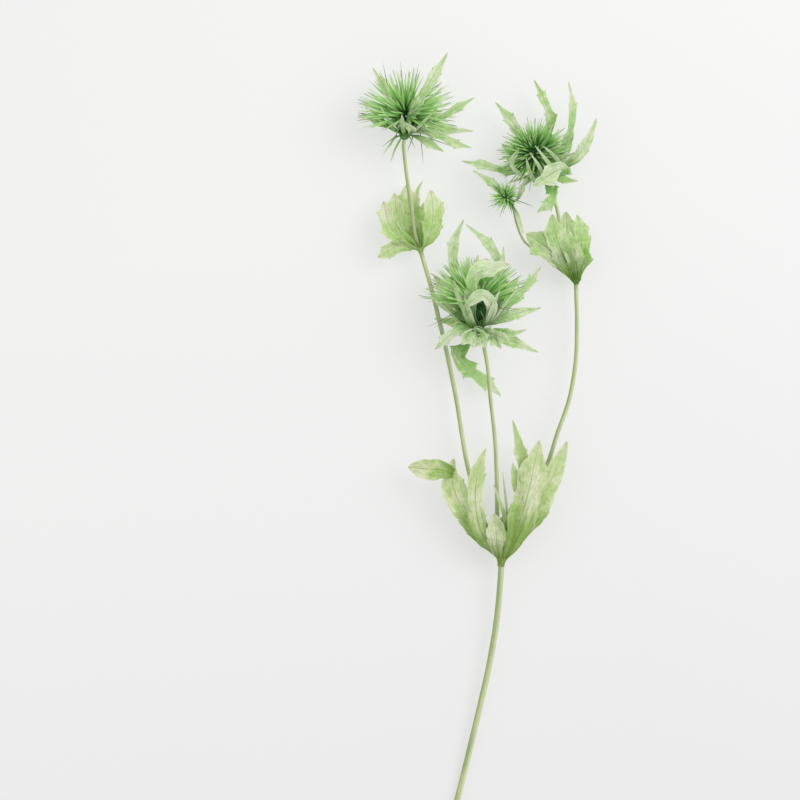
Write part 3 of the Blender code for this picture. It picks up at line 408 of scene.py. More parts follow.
def settled(point, rests):
    lowest = bladeLook["thickness"] / 2 + 0.05
    if rests:
        return Vector((point.x, point.y, max(point.z, lowest)))
    lowest += bladeLook["surfaceGap"]
    over = (point.z - lowest) / bladeLook["surfaceSoftness"]
    height = point.z if over > 20 else lowest + bladeLook["surfaceSoftness"] * math.log1p(math.exp(over))
    return Vector((point.x, point.y, height))


def pushedOff(point, head):
    # keeps a blade outside its head's cone
    if head is None:
        return point
    turn = axisFrame(head["axis"])
    centre = coneCentre(head)
    margin = bladeLook["coneMargin"]
    sides = (head["coneRadius"] + margin, head["coneRadius"] + margin, head["coneLength"] / 2 + margin)
    local = turn.transposed() @ (point - centre)
    reach = Vector([local[i] / sides[i] for i in range(3)]).length
    return point if reach >= 1 else centre + turn @ (local / max(reach, 0.2))


class Blade:
    def __init__(self, spec, points, rootAcross, depth, head, draw):
        self.spec, self.depth, self.head = spec, depth, head
        self.track = Track(points)
        self.narrow = spec["width"] < bladeLook["narrowBelow"]
        self.rootAcross = rootAcross
        self.phase = (draw.uniform(0, 1), draw.uniform(0, 1))
        self.waves = draw.uniform(1.6, 3.2)
        drawn = draw.uniform(0, 1)
        self.tint = drawn if spec["tone"] is None else spec["tone"]
        if rootAcross is not None:
            ahead = self.track.along(bladeLook["rootTurnEnds"] + 0.05)
            if rootAcross.dot(ahead.cross(spec["face"])) < 0:
                self.rootAcross = -rootAcross

    def frameAt(self, share):
        along = self.track.along(share)
        across = along.cross(self.spec["face"]).normalized()
        if self.rootAcross is not None:
            turn = min(share / bladeLook["rootTurnEnds"], 1.0)
            across = self.rootAcross.lerp(across, turn * turn * (3 - 2 * turn))
        across = (across - along * across.dot(along)).normalized()
        return self.track.at(share), along, across, across.cross(along)

    def pointAt(self, share, side):
        rib, along, across, normal = self.frameAt(share)
        factor, lean = toothAt(share, self.spec, self.depth, self.phase[side > 0])
        half = halfWidth(share, self.spec) * factor
        half = max(half, bladeLook["tipHalf"])
        amount = abs(side)
        point = rib + across * (half * side) + along * (lean * self.track.length * amount ** 1.5)
        rise = bladeLook["fold"] * half * amount ** 1.2
        if not self.narrow:
            wave = math.sin(2 * math.pi * (share * self.waves + self.phase[side > 0]))
            rise += bladeLook["edgeWave"] * half * amount ** 2 * wave * min(1.0, share * 4)
            crease = noise.noise(point * 0.19) + 0.45 * noise.noise(point * 0.45)
            rise += bladeLook["crumple"] * crease * min(1.0, share * 3)
        point += normal * rise
        return settled(pushedOff(point, self.head), self.spec["rests"])


def buildBlade(blade):
    across, along = (2, 16) if blade.narrow else (bladeLook["rowsAcross"], bladeLook["rowsAlong"])
    bpy.ops.mesh.primitive_grid_add(x_subdivisions=across, y_subdivisions=along, size=1)
    obj = bpy.context.object
    tints = []
    for vert in obj.data.vertices:
        share, side = vert.co.y + 0.5, vert.co.x * 2
        tints.append((blade.tint, share, abs(side)))
        vert.co = toWorld(blade.pointAt(share, side))
    tintPoints(obj.data, tints)
    applyModifier(obj, "SOLIDIFY", thickness=bladeLook["thickness"] * mm, offset=0.0, use_even_offset=False)
    for vert in obj.data.vertices:
        vert.co.z = max(vert.co.z, 0.0)
    return obj


bristleLook = dict(tip=0.12, bulgeAt=0.35, bulge=1.15)
bristleForms = {}


def bristleForm(sides):
    # a slim cone with a bulge, modelled once and copied for every bristle and spine
    if sides not in bristleForms:
        bpy.ops.mesh.primitive_cone_add(vertices=sides, radius1=1, radius2=bristleLook["tip"], depth=1,
                                        location=(0, 0, 0.5))
        obj = bpy.context.object
        bpy.ops.object.transform_apply()
        bpy.ops.object.mode_set(mode="EDIT")
        bpy.ops.mesh.select_all(action="SELECT")
        bpy.ops.mesh.bisect(plane_co=(0, 0, bristleLook["bulgeAt"]), plane_no=(0, 0, 1))
        bpy.ops.object.mode_set(mode="OBJECT")
        for vert in obj.data.vertices:
            if abs(vert.co.z - bristleLook["bulgeAt"]) < 0.05:
                vert.co.x *= bristleLook["bulge"]
                vert.co.y *= bristleLook["bulge"]
        bristleForms[sides] = obj.data.copy()
        bpy.data.objects.remove(obj)
    return bristleForms[sides]


def growBristles(places, sides, kind=1.0, flat=1.0):
    # places: (start, end, radius, tint); kind is 0 for florets, 1 for spines and 2 for hairs
    form = bristleForm(sides)
    corners = [vert.co.copy() for vert in form.vertices]
    faces = [tuple(poly.vertices) for poly in form.polygons]
    points, polygons, tints = [], [], []
    for start, end, radius, tint in places:
        end = keptInside(start, end, radius)
        turn = (end - start).to_track_quat("Z", "Y").to_matrix()
        length = (end - start).length
        base = len(points)
        for corner in corners:
            spot = Vector((corner.x * radius, corner.y * radius * flat, corner.z * length))
            points.append(toWorld(start + turn @ spot))
            tints.append((tint, corner.z, kind))
        polygons.extend(tuple(base + i for i in face) for face in faces)
    mesh = bpy.data.meshes.new("bristles")
    mesh.from_pydata(points, [], polygons)
    tintPoints(mesh, tints)
    obj = bpy.data.objects.new("bristles", mesh)
    bpy.context.scene.collection.objects.link(obj)
    return obj


def toothBristles(blade, draw):
    spec, places = blade.spec, []
    size = min(1.0, spec["width"] / 8) * bladeLook["toothSpine"]
    first, last = bladeLook["teethFrom"], bladeLook["teethTo"]
    for k in range(spec["teeth"]):
        share = first + (last - first) * (2 * k + 1) / (2 * spec["teeth"])
        _, along, across, _ = blade.frameAt(share)
        for side in (-1, 1):
            start = blade.pointAt(share, side * 0.96)
            way = (along * 0.85 + across * side * 0.6).normalized()
            end = start + way * (size * draw.uniform(0.8, 1.2))
            places.append((start - way * 0.4, end, bladeLook["toothSpineRadius"], blade.tint))
    return places


def bladesOf(leaves, centre, axis, ringRadius, depth, head, seed):
    draw = random.Random(seed)
    pieces, places = [], []
    for spec in leaves:
        points, rootAcross = spec["points"], None
        if spec["rooted"]:
            out = points[0] - centre
            outward = (out - axis * out.dot(axis)).normalized()
            rootAcross = axis.cross(outward)
            points = [centre + outward * ringRadius, *points]
        blade = Blade(spec, points, rootAcross, depth, head, draw)
        pieces.append(buildBlade(blade))
        places.extend(toothBristles(blade, draw))
    places = [p for p in places if min(p[0].z, p[1].z) > bladeLook["bristleClear"]]
    if places:
        pieces.append(growBristles(places, 5))
    return pieces


# whorls of leaves round the forks
whorlLook = dict(
    ringThickness=0.75,
    ringGap=0.55,          # from the swollen stem to the ring's middle line
    stemSwelling=1.3,
    mainSheath=5.6,        # lengths
    sideSheath=2.8,
    sheathWall=0.25,
    sheathFlare=0.5,
)


def sheath(fork, ringRadius, length):
    # the leaf bases run together below the whorl and clasp the stem
    inner = fork["radius"] + whorlLook["sheathWall"]
    outer = ringRadius + whorlLook["sheathFlare"]
    bpy.ops.mesh.primitive_cone_add(vertices=48, radius1=inner, radius2=outer, depth=length,
                                    end_fill_type="NOTHING")
    obj = bpy.context.object
    bpy.ops.object.mode_set(mode="EDIT")
    bpy.ops.mesh.select_all(action="SELECT")
    bpy.ops.mesh.subdivide(number_cuts=6)
    bpy.ops.object.mode_set(mode="OBJECT")
    turn = axisFrame(fork["axis"])
    for vert in obj.data.vertices:
        share = vert.co.z / length + 0.5
        around = math.atan2(vert.co.y, vert.co.x)
        radius = inner + (outer - fork["radius"]) * share ** 2.2
        radius *= 1 + 0.05 * share * math.sin(around * 7)
        height = (share - 1) * length + 0.3 + 0.6 * share * math.sin(around * 5 + 1)
        local = Vector((math.cos(around) * radius, math.sin(around) * radius, height))
        vert.co = toWorld(fork["place"] + turn @ local)
    tintWhole(obj, (0.4, 0.05, 0.0))
    applyModifier(obj, "SOLIDIFY", thickness=whorlLook["sheathWall"] * mm, offset=-1.0)
    return obj


def buildWhorl(node, leaves, fork, seed, material):
    ringRadius = fork["radius"] * whorlLook["stemSwelling"] + whorlLook["ringGap"]
    bpy.ops.mesh.primitive_torus_add(major_segments=40, minor_segments=12,
                                     major_radius=(ringRadius - 0.1) * mm,
                                     minor_radius=whorlLook["ringThickness"] * mm,
                                     location=toWorld(fork["place"]),
                                     rotation=fork["axis"].to_track_quat("Z", "Y").to_euler())
    ring = bpy.context.object
    bpy.ops.object.transform_apply()
    tintWhole(ring, (0.4, 0.12, 0.0))
    length = whorlLook["mainSheath" if fork is mainFork else "sideSheath"]
    pieces = [ring, sheath(fork, ringRadius, length)]
    pieces += bladesOf(leaves, fork["place"], fork["axis"], ringRadius, bladeLook["leafTooth"], None, seed)
    finishPiece(joinPieces(node + "_leaves", pieces), node, material)


bractletLook = dict(width=2.8, standsOut=2.5, standsUp=0.35, tilt=9)


def bractletsOf(head):
    # a ring of thin bracts behind the spines
    draw = random.Random(head["seed"] + 1)
    turn = axisFrame(head["axis"])
    rows = []
    for k in range(head["bractlets"]):
        around = 2 * math.pi * (k + draw.uniform(0.2, 0.8)) / head["bractlets"]
        tilt = draw.uniform(-1, 1) * bractletLook["tilt"]
        out = turn @ pointing(math.radians(head["bractletAngle"] + tilt), around)
        wide = turn @ Vector((math.cos(around), math.sin(around), 0))
        length = head["bractletLength"] * draw.uniform(0.8, 1.0)
        rise = head["coneRadius"] + bractletLook["standsOut"]
        first = head["foot"] + wide * rise + head["axis"] * (rise * bractletLook["standsUp"])
        line = [first, first + out * (length * 0.4), first + out * (length * 0.8)]
        rows.append(leaf(line, bractletLook["width"], 0, -wide))
    return rows


def buildBracts(head, bracts, material):
    node = head["name"] + "_bracts"
    bpy.ops.mesh.primitive_uv_sphere_add(segments=32, ring_count=20, radius=head["footRadius"] * mm * 0.98,
                                         location=toWorld(head["foot"]))
    foot = bpy.context.object
    bpy.ops.object.transform_apply()
    tintWhole(foot, (0.5, 0.1, 0.0))
    pieces = [foot] + bladesOf(bracts + bractletsOf(head), head["foot"], head["axis"],
                               head["footRadius"] * 0.45, bladeLook["bractTooth"], head, head["seed"] + 50)
    finishPiece(joinPieces(node + "_leaves", pieces), node, material)


# cones with their florets and spines
coneLook = dict(
    footGap=0.35,
    floretRadius=0.75,     # florets in the size of the centre head's
    floretLength=4.2,
    spineRadius=0.66,
    spineFlatness=0.55,
    spineWander=0.09,
    skinSink=1.3,          # how deep a spine starts below the skin
    hairRadius=0.36,
    hairDroop=0.18,
    floretOpening=100,     # degrees
    spineClear=1.6,        # least heights over the surface
    hairClear=1.2,
)
goldenAngle = math.pi * (3 - math.sqrt(5))


def fromCone(head, polar, around):
    # the direction and the point of the cone's skin at two angles
    turn = axisFrame(head["axis"])
    out = pointing(polar, around)
    skin = Vector((out.x * head["coneRadius"], out.y * head["coneRadius"], out.z * head["coneLength"] / 2))
    return turn @ out, coneCentre(head) + turn @ skin


def underRoof(head, start, end):
    # stops a spine below the bracts that fold over its head
    if "roof" not in head:
        return end
    left, right, near, far, height = head["roof"]
    if end.z < height or not (left < end.x < right and near < end.y < far):
        return end
    return start.lerp(end, max((height - start.z) / (end.z - start.z), 0.15))


def spinePlaces(head):
    draw = random.Random(head["seed"] + 3)
    shortest, longest = head["spineLength"]
    places = []
    for k in range(head["spines"]):
        polar = math.radians(head["opening"]) * math.sqrt((k + 0.5) / head["spines"])
        polar += draw.uniform(-0.1, 0.1)
        out, skin = fromCone(head, polar, 1.0 + k * goldenAngle)
        wander = Vector([draw.uniform(-1, 1) for _ in range(3)]) * coneLook["spineWander"]
        length = shortest + (longest - shortest) * math.sin(min(polar, 1.5)) * draw.uniform(0.6, 1.0)
        end = underRoof(head, skin, skin + (out + wander) * length)
        if end.z < coneLook["spineClear"]:
            continue
        radius = coneLook["spineRadius"] * head["spineBreadth"] * draw.uniform(0.7, 1.2)
        places.append((skin - out * coneLook["skinSink"], end, radius, draw.uniform(0, 1)))
    return places


def strayHairs(head):
    # long thin bristles that droop from under the cone
    draw = random.Random(head["seed"] + 21)
    places = []
    for k in range(head["hairs"]):
        polar = math.radians(draw.uniform(88, 118))
        out, skin = fromCone(head, polar, 2 * math.pi * (k + draw.uniform(0, 0.8)) / head["hairs"])
        length = head["spineLength"][1] * draw.uniform(0.55, 0.95)
        end = skin + out * length + Vector((0, -coneLook["hairDroop"] * length, 0))
        if end.z > coneLook["hairClear"]:
            places.append((skin - out * 0.8, end, coneLook["hairRadius"], draw.uniform(0, 1)))
    for start, end in head["strayLines"]:
        places.append((Vector(start), Vector(end), coneLook["hairRadius"], 0.5))
    return places


def buildCone(head, material):
    node = head["name"] + "_cone"
    bpy.ops.mesh.primitive_ico_sphere_add(subdivisions=4, radius=1)
    core = bpy.context.object
    side = head["coneRadius"] * mm
    core.data.transform(Matrix.Translation(toWorld(coneCentre(head))) @ axisFrame(head["axis"]).to_4x4()
                        @ Matrix.Diagonal((side, side, head["coneLength"] / 2 * mm, 1.0)))
    tintWhole(core, (0.0, 0.0, 0.0))
    size = head["coneRadius"] / centreHead["coneRadius"]
    draw = random.Random(head["seed"] + 9)
    florets = []
    for k in range(head["florets"]):
        polar = math.radians(coneLook["floretOpening"]) * math.sqrt((k + 0.5) / head["florets"])
        out, skin = fromCone(head, polar, k * goldenAngle)
        long = coneLook["floretLength"] * size * draw.uniform(0.8, 1.2)
        florets.append((skin - out * 0.8, skin + out * long, coneLook["floretRadius"] * size, 0.3))
    flat = coneLook["spineFlatness"] / head["spineBreadth"]
    pieces = [core, growBristles(spinePlaces(head), 6, flat=flat), growBristles(florets, 6, kind=0.0),
              growBristles(strayHairs(head), 5, kind=2.0)]
    finishPiece(joinPieces(node + "_spines", pieces), node, material)


# the stem
stemLook = dict(
    mainRadius=1.82,
    branchRadius=1.3,
    stalkRadius=1.1,
    budStalkRadius=0.77,
    step=3.0,              # from one ring of points to the next
    waver=0.04,
    swelling=1.38,         # of the knuckles at the forks
)
mainStem = [(-32.8, -192, 1.9), (-25, -162, 3.6), (-13.6, -115, 6.3), (-6.2, -82, 8.2), (-1.6, -54.6, 9.8),
            (0.6, -31.8, 11.1), mainFork["place"]]
leftBranch = [mainFork["place"], (-4.2, -6, 13.5), (-12, 15, 14.5), (-18.6, 37.4, 15), (-22.5, 58.8, 15),
              (-25.6, 78.6, 15), (-30.9, 104.6, 15), (-36.3, 127.8, 15), (-41.6, 149, 14.5),
              leftFork["place"]]
leftStalk = [leftFork["place"], (-50.6, 178, 15.5), (-53.2, 197.6, 18), (-55.9, 216, 20), (-57.5, 231, 21)]
centreBranch = [mainFork["place"], (-0.6, -3, 14), (-1.2, 6.8, 15), (-1.4, 24.6, 17), (-2.2, 47.4, 19),
                (-3.4, 62.7, 20), (-5.4, 79.2, 21.5), (-7.2, 98.5, 23.5), (-9.8, 112, 25)]
rightBranch = [mainFork["place"], (4.8, -9.6, 12.8), (12, 4.8, 13.5), (21, 24, 14), (29.5, 42, 14),
               (34.9, 58.9, 14), (42, 79.2, 14), (46, 102.4, 13.5), (46.8, 125.4, 13.2), rightFork["place"]]
rightStalk = [rightFork["place"], (42.6, 160.8, 12.5), (37.8, 178.2, 11), (34.8, 195, 10), (30.6, 207, 10.5)]
budStalk = [rightFork["place"], (37.2, 157.2, 9.5), (27, 165.6, 8.5), (18, 172.2, 9), (14.3, 176, 10.5),
            (10.7, 184.8, 12.5), (9, 192, 14)]


def tube(points, radiusFrom, radiusTo):
    track = Track([Vector(p) for p in points])
    count = max(6, round(track.length / stemLook["step"]))
    curve = bpy.data.curves.new("tube", "CURVE")
    curve.dimensions = "3D"
    curve.bevel_depth = mm
    curve.bevel_resolution = 4
    curve.use_fill_caps = True
    spline = curve.splines.new("POLY")
    spline.points.add(count)
    for i, knot in enumerate(spline.points):
        share = i / count
        waver = 1 + stemLook["waver"] * noise.noise(Vector((i * 0.35, 0, 0)))
        knot.co = (*toWorld(track.at(share)), 1.0)
        knot.radius = (radiusFrom + (radiusTo - radiusFrom) * share) * waver
    obj = bpy.data.objects.new("tube", curve)
    bpy.context.scene.collection.objects.link(obj)
    focusOn(obj)
    bpy.ops.object.convert(target="MESH")
    obj = bpy.context.object
    # where each point lies on the stem: sideways, upwards and along, in decimetres; by the sideways number
    # the finish paints the stem lighter on its right side and darker on its left, as painted light and shade
    middles = [toWorld(track.at(i / count)) for i in range(count + 1)]
    tints = []
    for vert in obj.data.vertices:
        nearest = min(range(count + 1), key=lambda i: (vert.co - middles[i]).length_squared)
        out = (vert.co - middles[nearest]).normalized()
        tints.append((out.x / 2 + 0.5, out.z / 2 + 0.5, nearest / count * track.length / 100))
    tintPoints(obj.data, tints)
    return obj


def upTo(head, points):
    # lets a stalk run on to the skin of its head's foot
    last = Vector(points[-1])
    return points + [tuple(head["foot"] + (last - head["foot"]).normalized() * (head["footRadius"] + 0.2))]


def knuckle(fork):
    bpy.ops.mesh.primitive_uv_sphere_add(segments=28, ring_count=18,
                                         radius=fork["radius"] * stemLook["swelling"] * mm)
    obj = bpy.context.object
    obj.data.transform(Matrix.Translation(toWorld(fork["place"])) @ axisFrame(fork["axis"]).to_4x4()
                       @ Matrix.Diagonal((1, 1, 0.85, 1)))
    tintWhole(obj, (0.5, 0.5, 0.0))
    return obj


def buildStem(material):
    main, branch, stalk = stemLook["mainRadius"], stemLook["branchRadius"], stemLook["stalkRadius"]
    pieces = [
        tube(mainStem, main, main * 1.02),
        tube(leftBranch, branch * 1.05, branch),
        tube(upTo(leftHead, leftStalk), stalk * 1.08, stalk),
        tube(upTo(centreHead, centreBranch), branch, stalk),
        tube(rightBranch, branch * 1.05, branch),
        tube(upTo(rightHead, rightStalk), stalk * 1.08, stalk),
        tube(upTo(budHead, budStalk), stemLook["budStalkRadius"], stemLook["budStalkRadius"]),
        *[knuckle(fork) for fork in forks],
    ]
    finishPiece(joinPieces("stem_with_branches", pieces), "stem", material)


# shader maths

class Wire:
    def __init__(self, finish, socket):
        self.finish, self.socket = finish, socket

    def maths(self, kind, first, second):
        return self.finish.node("ShaderNodeMath", {"operation": kind}, {0: first, 1: second})[0]

    def __add__(self, other):
        return self.maths("ADD", self, other)

    def __sub__(self, other):
        return self.maths("SUBTRACT", self, other)

    def __rsub__(self, other):
        return self.maths("SUBTRACT", other, self)

    def __mul__(self, other):
        return self.maths("MULTIPLY", self, other)

    __radd__ = __add__
    __rmul__ = __mul__


class Outputs:
    def __init__(self, finish, made):
        self.finish, self.made = finish, made

    def __getitem__(self, key):
        return Wire(self.finish, self.made.outputs[key])


class Finish:
    def __init__(self, name):
        self.material = bpy.data.materials.new(name)
        self.material.use_nodes = True
        self.tree = self.material.node_tree
        self.shader = self.tree.nodes["Principled BSDF"]
        self.place = self.node("ShaderNodeTexCoord")["Object"]

    def node(self, kind, settings=None, values=None):
        made = self.tree.nodes.new(kind)
        for key, value in (settings or {}).items():
            if key == "stops":
                ramp = made.color_ramp
                while len(ramp.elements) < len(value):
                    ramp.elements.new(0.5)
                for element, (place, colour) in zip(ramp.elements, value):
                    element.position = place
                    element.color = (*colour, 1.0)
            else:
                setattr(made, key, value)
        for key, value in (values or {}).items():
            self.put(made.inputs[key], value)
        return Outputs(self, made)

    def put(self, socket, value):
        if isinstance(value, Wire):
            self.tree.links.new(value.socket, socket)
        else:
            socket.default_value = value

    def feed(self, name, value):
        self.put(self.shader.inputs[name], value)

    def blend(self, factor, colourA, colourB):
        settings = {"data_type": "RGBA", "clamp_factor": True}
        full = [(*colour, 1.0) if isinstance(colour, tuple) else colour for colour in (colourA, colourB)]
        return self.node("ShaderNodeMix", settings, {0: factor, 6: full[0], 7: full[1]})[2]

    def stretch(self, value, low, high, toLow=0.0, toHigh=1.0):
        values = {0: value, 1: low, 2: high, 3: toLow, 4: toHigh}
        return self.node("ShaderNodeMapRange", {"clamp": True}, values)[0]

    def zigzag(self, value):
        return self.node("ShaderNodeMath", {"operation": "PINGPONG"}, {0: value, 1: 0.5})[0]

    def noise(self, scale, detail=3.0, rough=0.5, vector=None):
        values = {"Vector": vector or self.place, "Scale": scale, "Detail": detail, "Roughness": rough}
        return self.node("ShaderNodeTexNoise", {}, values)[0]

    def tintColour(self):
        return self.node("ShaderNodeVertexColor", {"layer_name": "tint"})["Color"]

    def surface(self, paint, body, grain, height):
        bump = {"Height": height, "Strength": paint["bump"], "Distance": paint["bumpDepth"] * mm}
        self.feed("Base Color", body)
        self.feed("Roughness", self.stretch(grain, 0.3, 0.7, *paint["roughness"]))
        self.feed("Normal", self.node("ShaderNodeBump", {}, bump)[0])
        self.feed("Specular IOR Level", paint["shine"])


# leaf and bract finish: streaks and veins along a blade, with painted shade that darkens it to its foot, and
# a tip that dries
leafPaint = dict(
    green=(0.33, 0.53, 0.13),
    yellow=(0.58, 0.74, 0.30),
    pale=(0.92, 0.98, 0.70),
    # root: the colour of the painted shade at the foot of each blade, where the blades crowd together
    root=(0.20, 0.35, 0.03),
    # fold: the colour of the painted shade in the folds near a blade's foot
    fold=(0.13, 0.24, 0.01),
    # vein: the colour of the veins, and also of the painted shade in the creases
    vein=(0.21, 0.40, 0.08),
    dry=(0.52, 0.47, 0.21),
    rootReach=0.5,         # share of the blade that its painted shade at the foot covers
    veinSteps=9.0,
    veinSlant=3.4,
    veinShare=0.4,         # how much of each colour shows
    netShare=0.12,
    creaseShare=0.3,
    foldShare=0.8,
    spotShare=0.15,
    roughness=(0.5, 0.72),
    bump=0.7,
    bumpDepth=0.5,
    shine=0.3,
)
# a lighter copy of the leaf paint for the left whorl: painted light, which lifts the shade on its crowded,
# steep leaves
leftLitLeafPaint = dict(leafPaint, green=(0.42, 0.69, 0.20), yellow=(0.68, 0.90, 0.40), root=(0.33, 0.56, 0.10),
                     fold=(0.20, 0.36, 0.05), rootReach=0.42)
# a deeper copy of the leaf paint for the right whorl, darkest at its foot: painted shade
rightShadedLeafPaint = dict(leafPaint, green=(0.21, 0.47, 0.05), yellow=(0.57, 0.84, 0.30), pale=(0.88, 1.0, 0.67),
                      root=(0.10, 0.22, 0.005), fold=(0.05, 0.14, 0.002))
bractPaint = dict(leafPaint, green=(0.27, 0.56, 0.13), yellow=(0.58, 0.84, 0.37), pale=(0.90, 1.0, 0.72),
                  root=(0.06, 0.18, 0.02), fold=(0.05, 0.15, 0.01), vein=(0.17, 0.38, 0.08), rootReach=0.45)


def leafFinish(name, paint):
    finish = Finish(name)
    blend, stretch = finish.blend, finish.stretch
    uv = finish.node("ShaderNodeSeparateXYZ", {}, {0: finish.node("ShaderNodeTexCoord")["UV"]})
    tint = finish.node("ShaderNodeSeparateColor", {}, {0: finish.tintColour()})
    leafTint, grown, edge = tint[0], tint[1], tint[2]
    side = finish.node("ShaderNodeMath", {"operation": "ABSOLUTE"}, {0: uv[0] - 0.5})[0] * 2.0
    cloud = finish.noise(110.0)
    mottle = finish.noise(240.0, rough=0.6)
    blotch = finish.noise(52.0, 2.0)
    wander = finish.noise(260.0, 2.0)
    grain = finish.noise(800.0, 4.0)
    lengthwise = {0: uv[0] * 11.0 + wander * 0.7, 1: uv[1] * 2.2, 2: leafTint * 41.0}
    streak = finish.noise(1.0, rough=0.6, vector=finish.node("ShaderNodeCombineXYZ", {}, lengthwise)[0])
    # side veins run forward from the midrib, and a fine net lies between them
    run = grown * paint["veinSteps"] - side * paint["veinSlant"] + (wander - 0.5) * 0.9
    sideVein = stretch(finish.zigzag(run), 0.0, 0.07, 1.0, 0.0) * stretch(side, 0.7, 1.0, 1.0, 0.1)
    midrib = stretch(side, 0.015, 0.075, 1.0, 0.0)
    beside = stretch(side, 0.04, 0.2, 1.0, 0.0)
    net = finish.node("ShaderNodeTexVoronoi", {"feature": "DISTANCE_TO_EDGE"},
                      {"Vector": finish.place, "Scale": 800.0})[0]
    netVein = stretch(net, 0.0, 0.06, 1.0, 0.0)
    # dark lines along the blade: painted shade in its creases, which also sink the bump a little
    wrinkle = finish.zigzag(uv[0] * 2.6 + leafTint * 3.0 + (cloud - 0.5) * 1.3)
    crease = stretch(wrinkle, 0.0, 0.06, 1.0, 0.0) * stretch(blotch, 0.42, 0.58)
    # each pattern pales the blade where it is high and greens it where it is low
    body = blend(leafTint * 0.6 + cloud * 0.5, paint["green"], paint["yellow"])
    for pattern, high, paleShare, low, greenShare in (
            (streak, 0.48, 0.42, 0.34, 0.4), (mottle, 0.48, 0.62, 0.36, 0.6), (blotch, 0.47, 0.7, 0.36, 0.6)):
        body = blend(stretch(pattern, high, 0.66) * paleShare, body, paint["pale"])
        body = blend(stretch(pattern, 0.5, low) * greenShare, body, paint["green"])
    body = blend(stretch(edge, 0.7, 1.0) * 0.25 + stretch(grown, 0.45, 1.0) * 0.5, body, paint["pale"])
    body = blend(netVein * paint["netShare"], body, paint["vein"])
    body = blend(sideVein * paint["veinShare"], body, paint["vein"])
    body = blend(beside * 0.3, body, paint["pale"])
    body = blend(crease * paint["creaseShare"], body, paint["vein"])
    body = blend(midrib * stretch(wander, 0.3, 0.65, 0.25, 0.65), body, paint["vein"])
    # painted shade: each blade darkens to its root colour at its foot, where the blades crowd together
    body = blend(stretch(grown, 0.02, paint["rootReach"], 0.9, 0.0), body, paint["root"])
    # painted shade in the folds near each blade's foot, along the low streaks
    footFoldShade = stretch(streak, 0.52, 0.4) * stretch(grown, 0.12, 0.62, 0.8, 0.0)
    body = blend(footFoldShade * paint["foldShare"], body, paint["fold"])
    spots = stretch(finish.noise(190.0, 5.0, 0.65), 0.6, 0.72)
    body = blend(spots * paint["spotShare"] + stretch(grown, 0.93, 1.0) * 0.4, body, paint["dry"])
    raised = grain * 0.3 + streak * 0.5 + mottle * 1.1 + cloud * 0.6 + netVein * 0.2
    finish.surface(paint, body, grain, raised - sideVein * 0.5 - midrib * 0.9 - crease * 0.5)
    finish.feed("Subsurface Weight", 0.3)
    finish.feed("Subsurface Scale", 0.003)
    finish.feed("Subsurface Radius", (0.6, 1.0, 0.3))
    return finish.material


conePaint = dict(
    # deep: painted shade on the core and at the feet of the spines and florets, deep among the crowded spines
    deep=(0.03, 0.11, 0.02),
    dark=(0.075, 0.25, 0.04),
    fresh=(0.29, 0.63, 0.14),
    light=(0.66, 0.92, 0.43),
    reach=(0.14, 0.4, 0.76),       # where dark, fresh and light stand along a spine
    tip=(0.25, 0.24, 0.15),
    floret=(0.12, 0.38, 0.09),
    hair=(0.20, 0.17, 0.12),
    roughness=(0.5, 0.7),
    bump=0.4,
    bumpDepth=0.3,
    shine=0.3,
)
rightConePaint = dict(conePaint, dark=(0.04, 0.17, 0.02), fresh=(0.21, 0.52, 0.09), reach=(0.24, 0.52, 0.82))


def coneFinish(name, paint):
    finish = Finish(name)
    blend, stretch = finish.blend, finish.stretch
    tint = finish.node("ShaderNodeSeparateColor", {}, {0: finish.tintColour()})
    each, grown, kind = tint[0], tint[1], tint[2]
    grain = finish.noise(900.0)
    stops = zip((0.0, *paint["reach"]), (paint["deep"], paint["dark"], paint["fresh"], paint["light"]))
    shoot = finish.node("ShaderNodeValToRGB", {"stops": list(stops)}, {0: grown})[0]
    body = blend(each * 0.3, shoot, paint["light"])
    body = blend(stretch(grain, 0.4, 0.7) * 0.4, body, paint["fresh"])
    # painted shade: the feet of the spines darken to deep green
    body = blend(stretch(grown, 0.0, 0.2, 1.0, 0.0), body, paint["deep"])
    # less than half of the spines have dry tips
    body = blend(stretch(grown, 0.74, 0.9) * stretch(each, 0.42, 0.72, 0.12, 0.95), body, paint["tip"])
    floret = blend(stretch(grown, 0.2, 1.0), paint["deep"], paint["floret"])
    body = blend(kind, floret, body)
    body = blend(stretch(kind, 1.2, 1.8) * stretch(grown, 0.2, 0.6), body, paint["hair"])
    finish.surface(paint, body, grain, grain)
    return finish.material


stemPaint = dict(
    light=(0.58, 0.65, 0.33),
    green=(0.38, 0.50, 0.22),
    olive=(0.26, 0.33, 0.09),
    pale=(0.84, 0.88, 0.61),
    pith=(0.72, 0.73, 0.55),
    pithDepth=0.4,         # how far the pale cut end reaches
    roughness=(0.47, 0.65),
    bump=0.6,
    bumpDepth=0.4,
    shine=0.35,
)


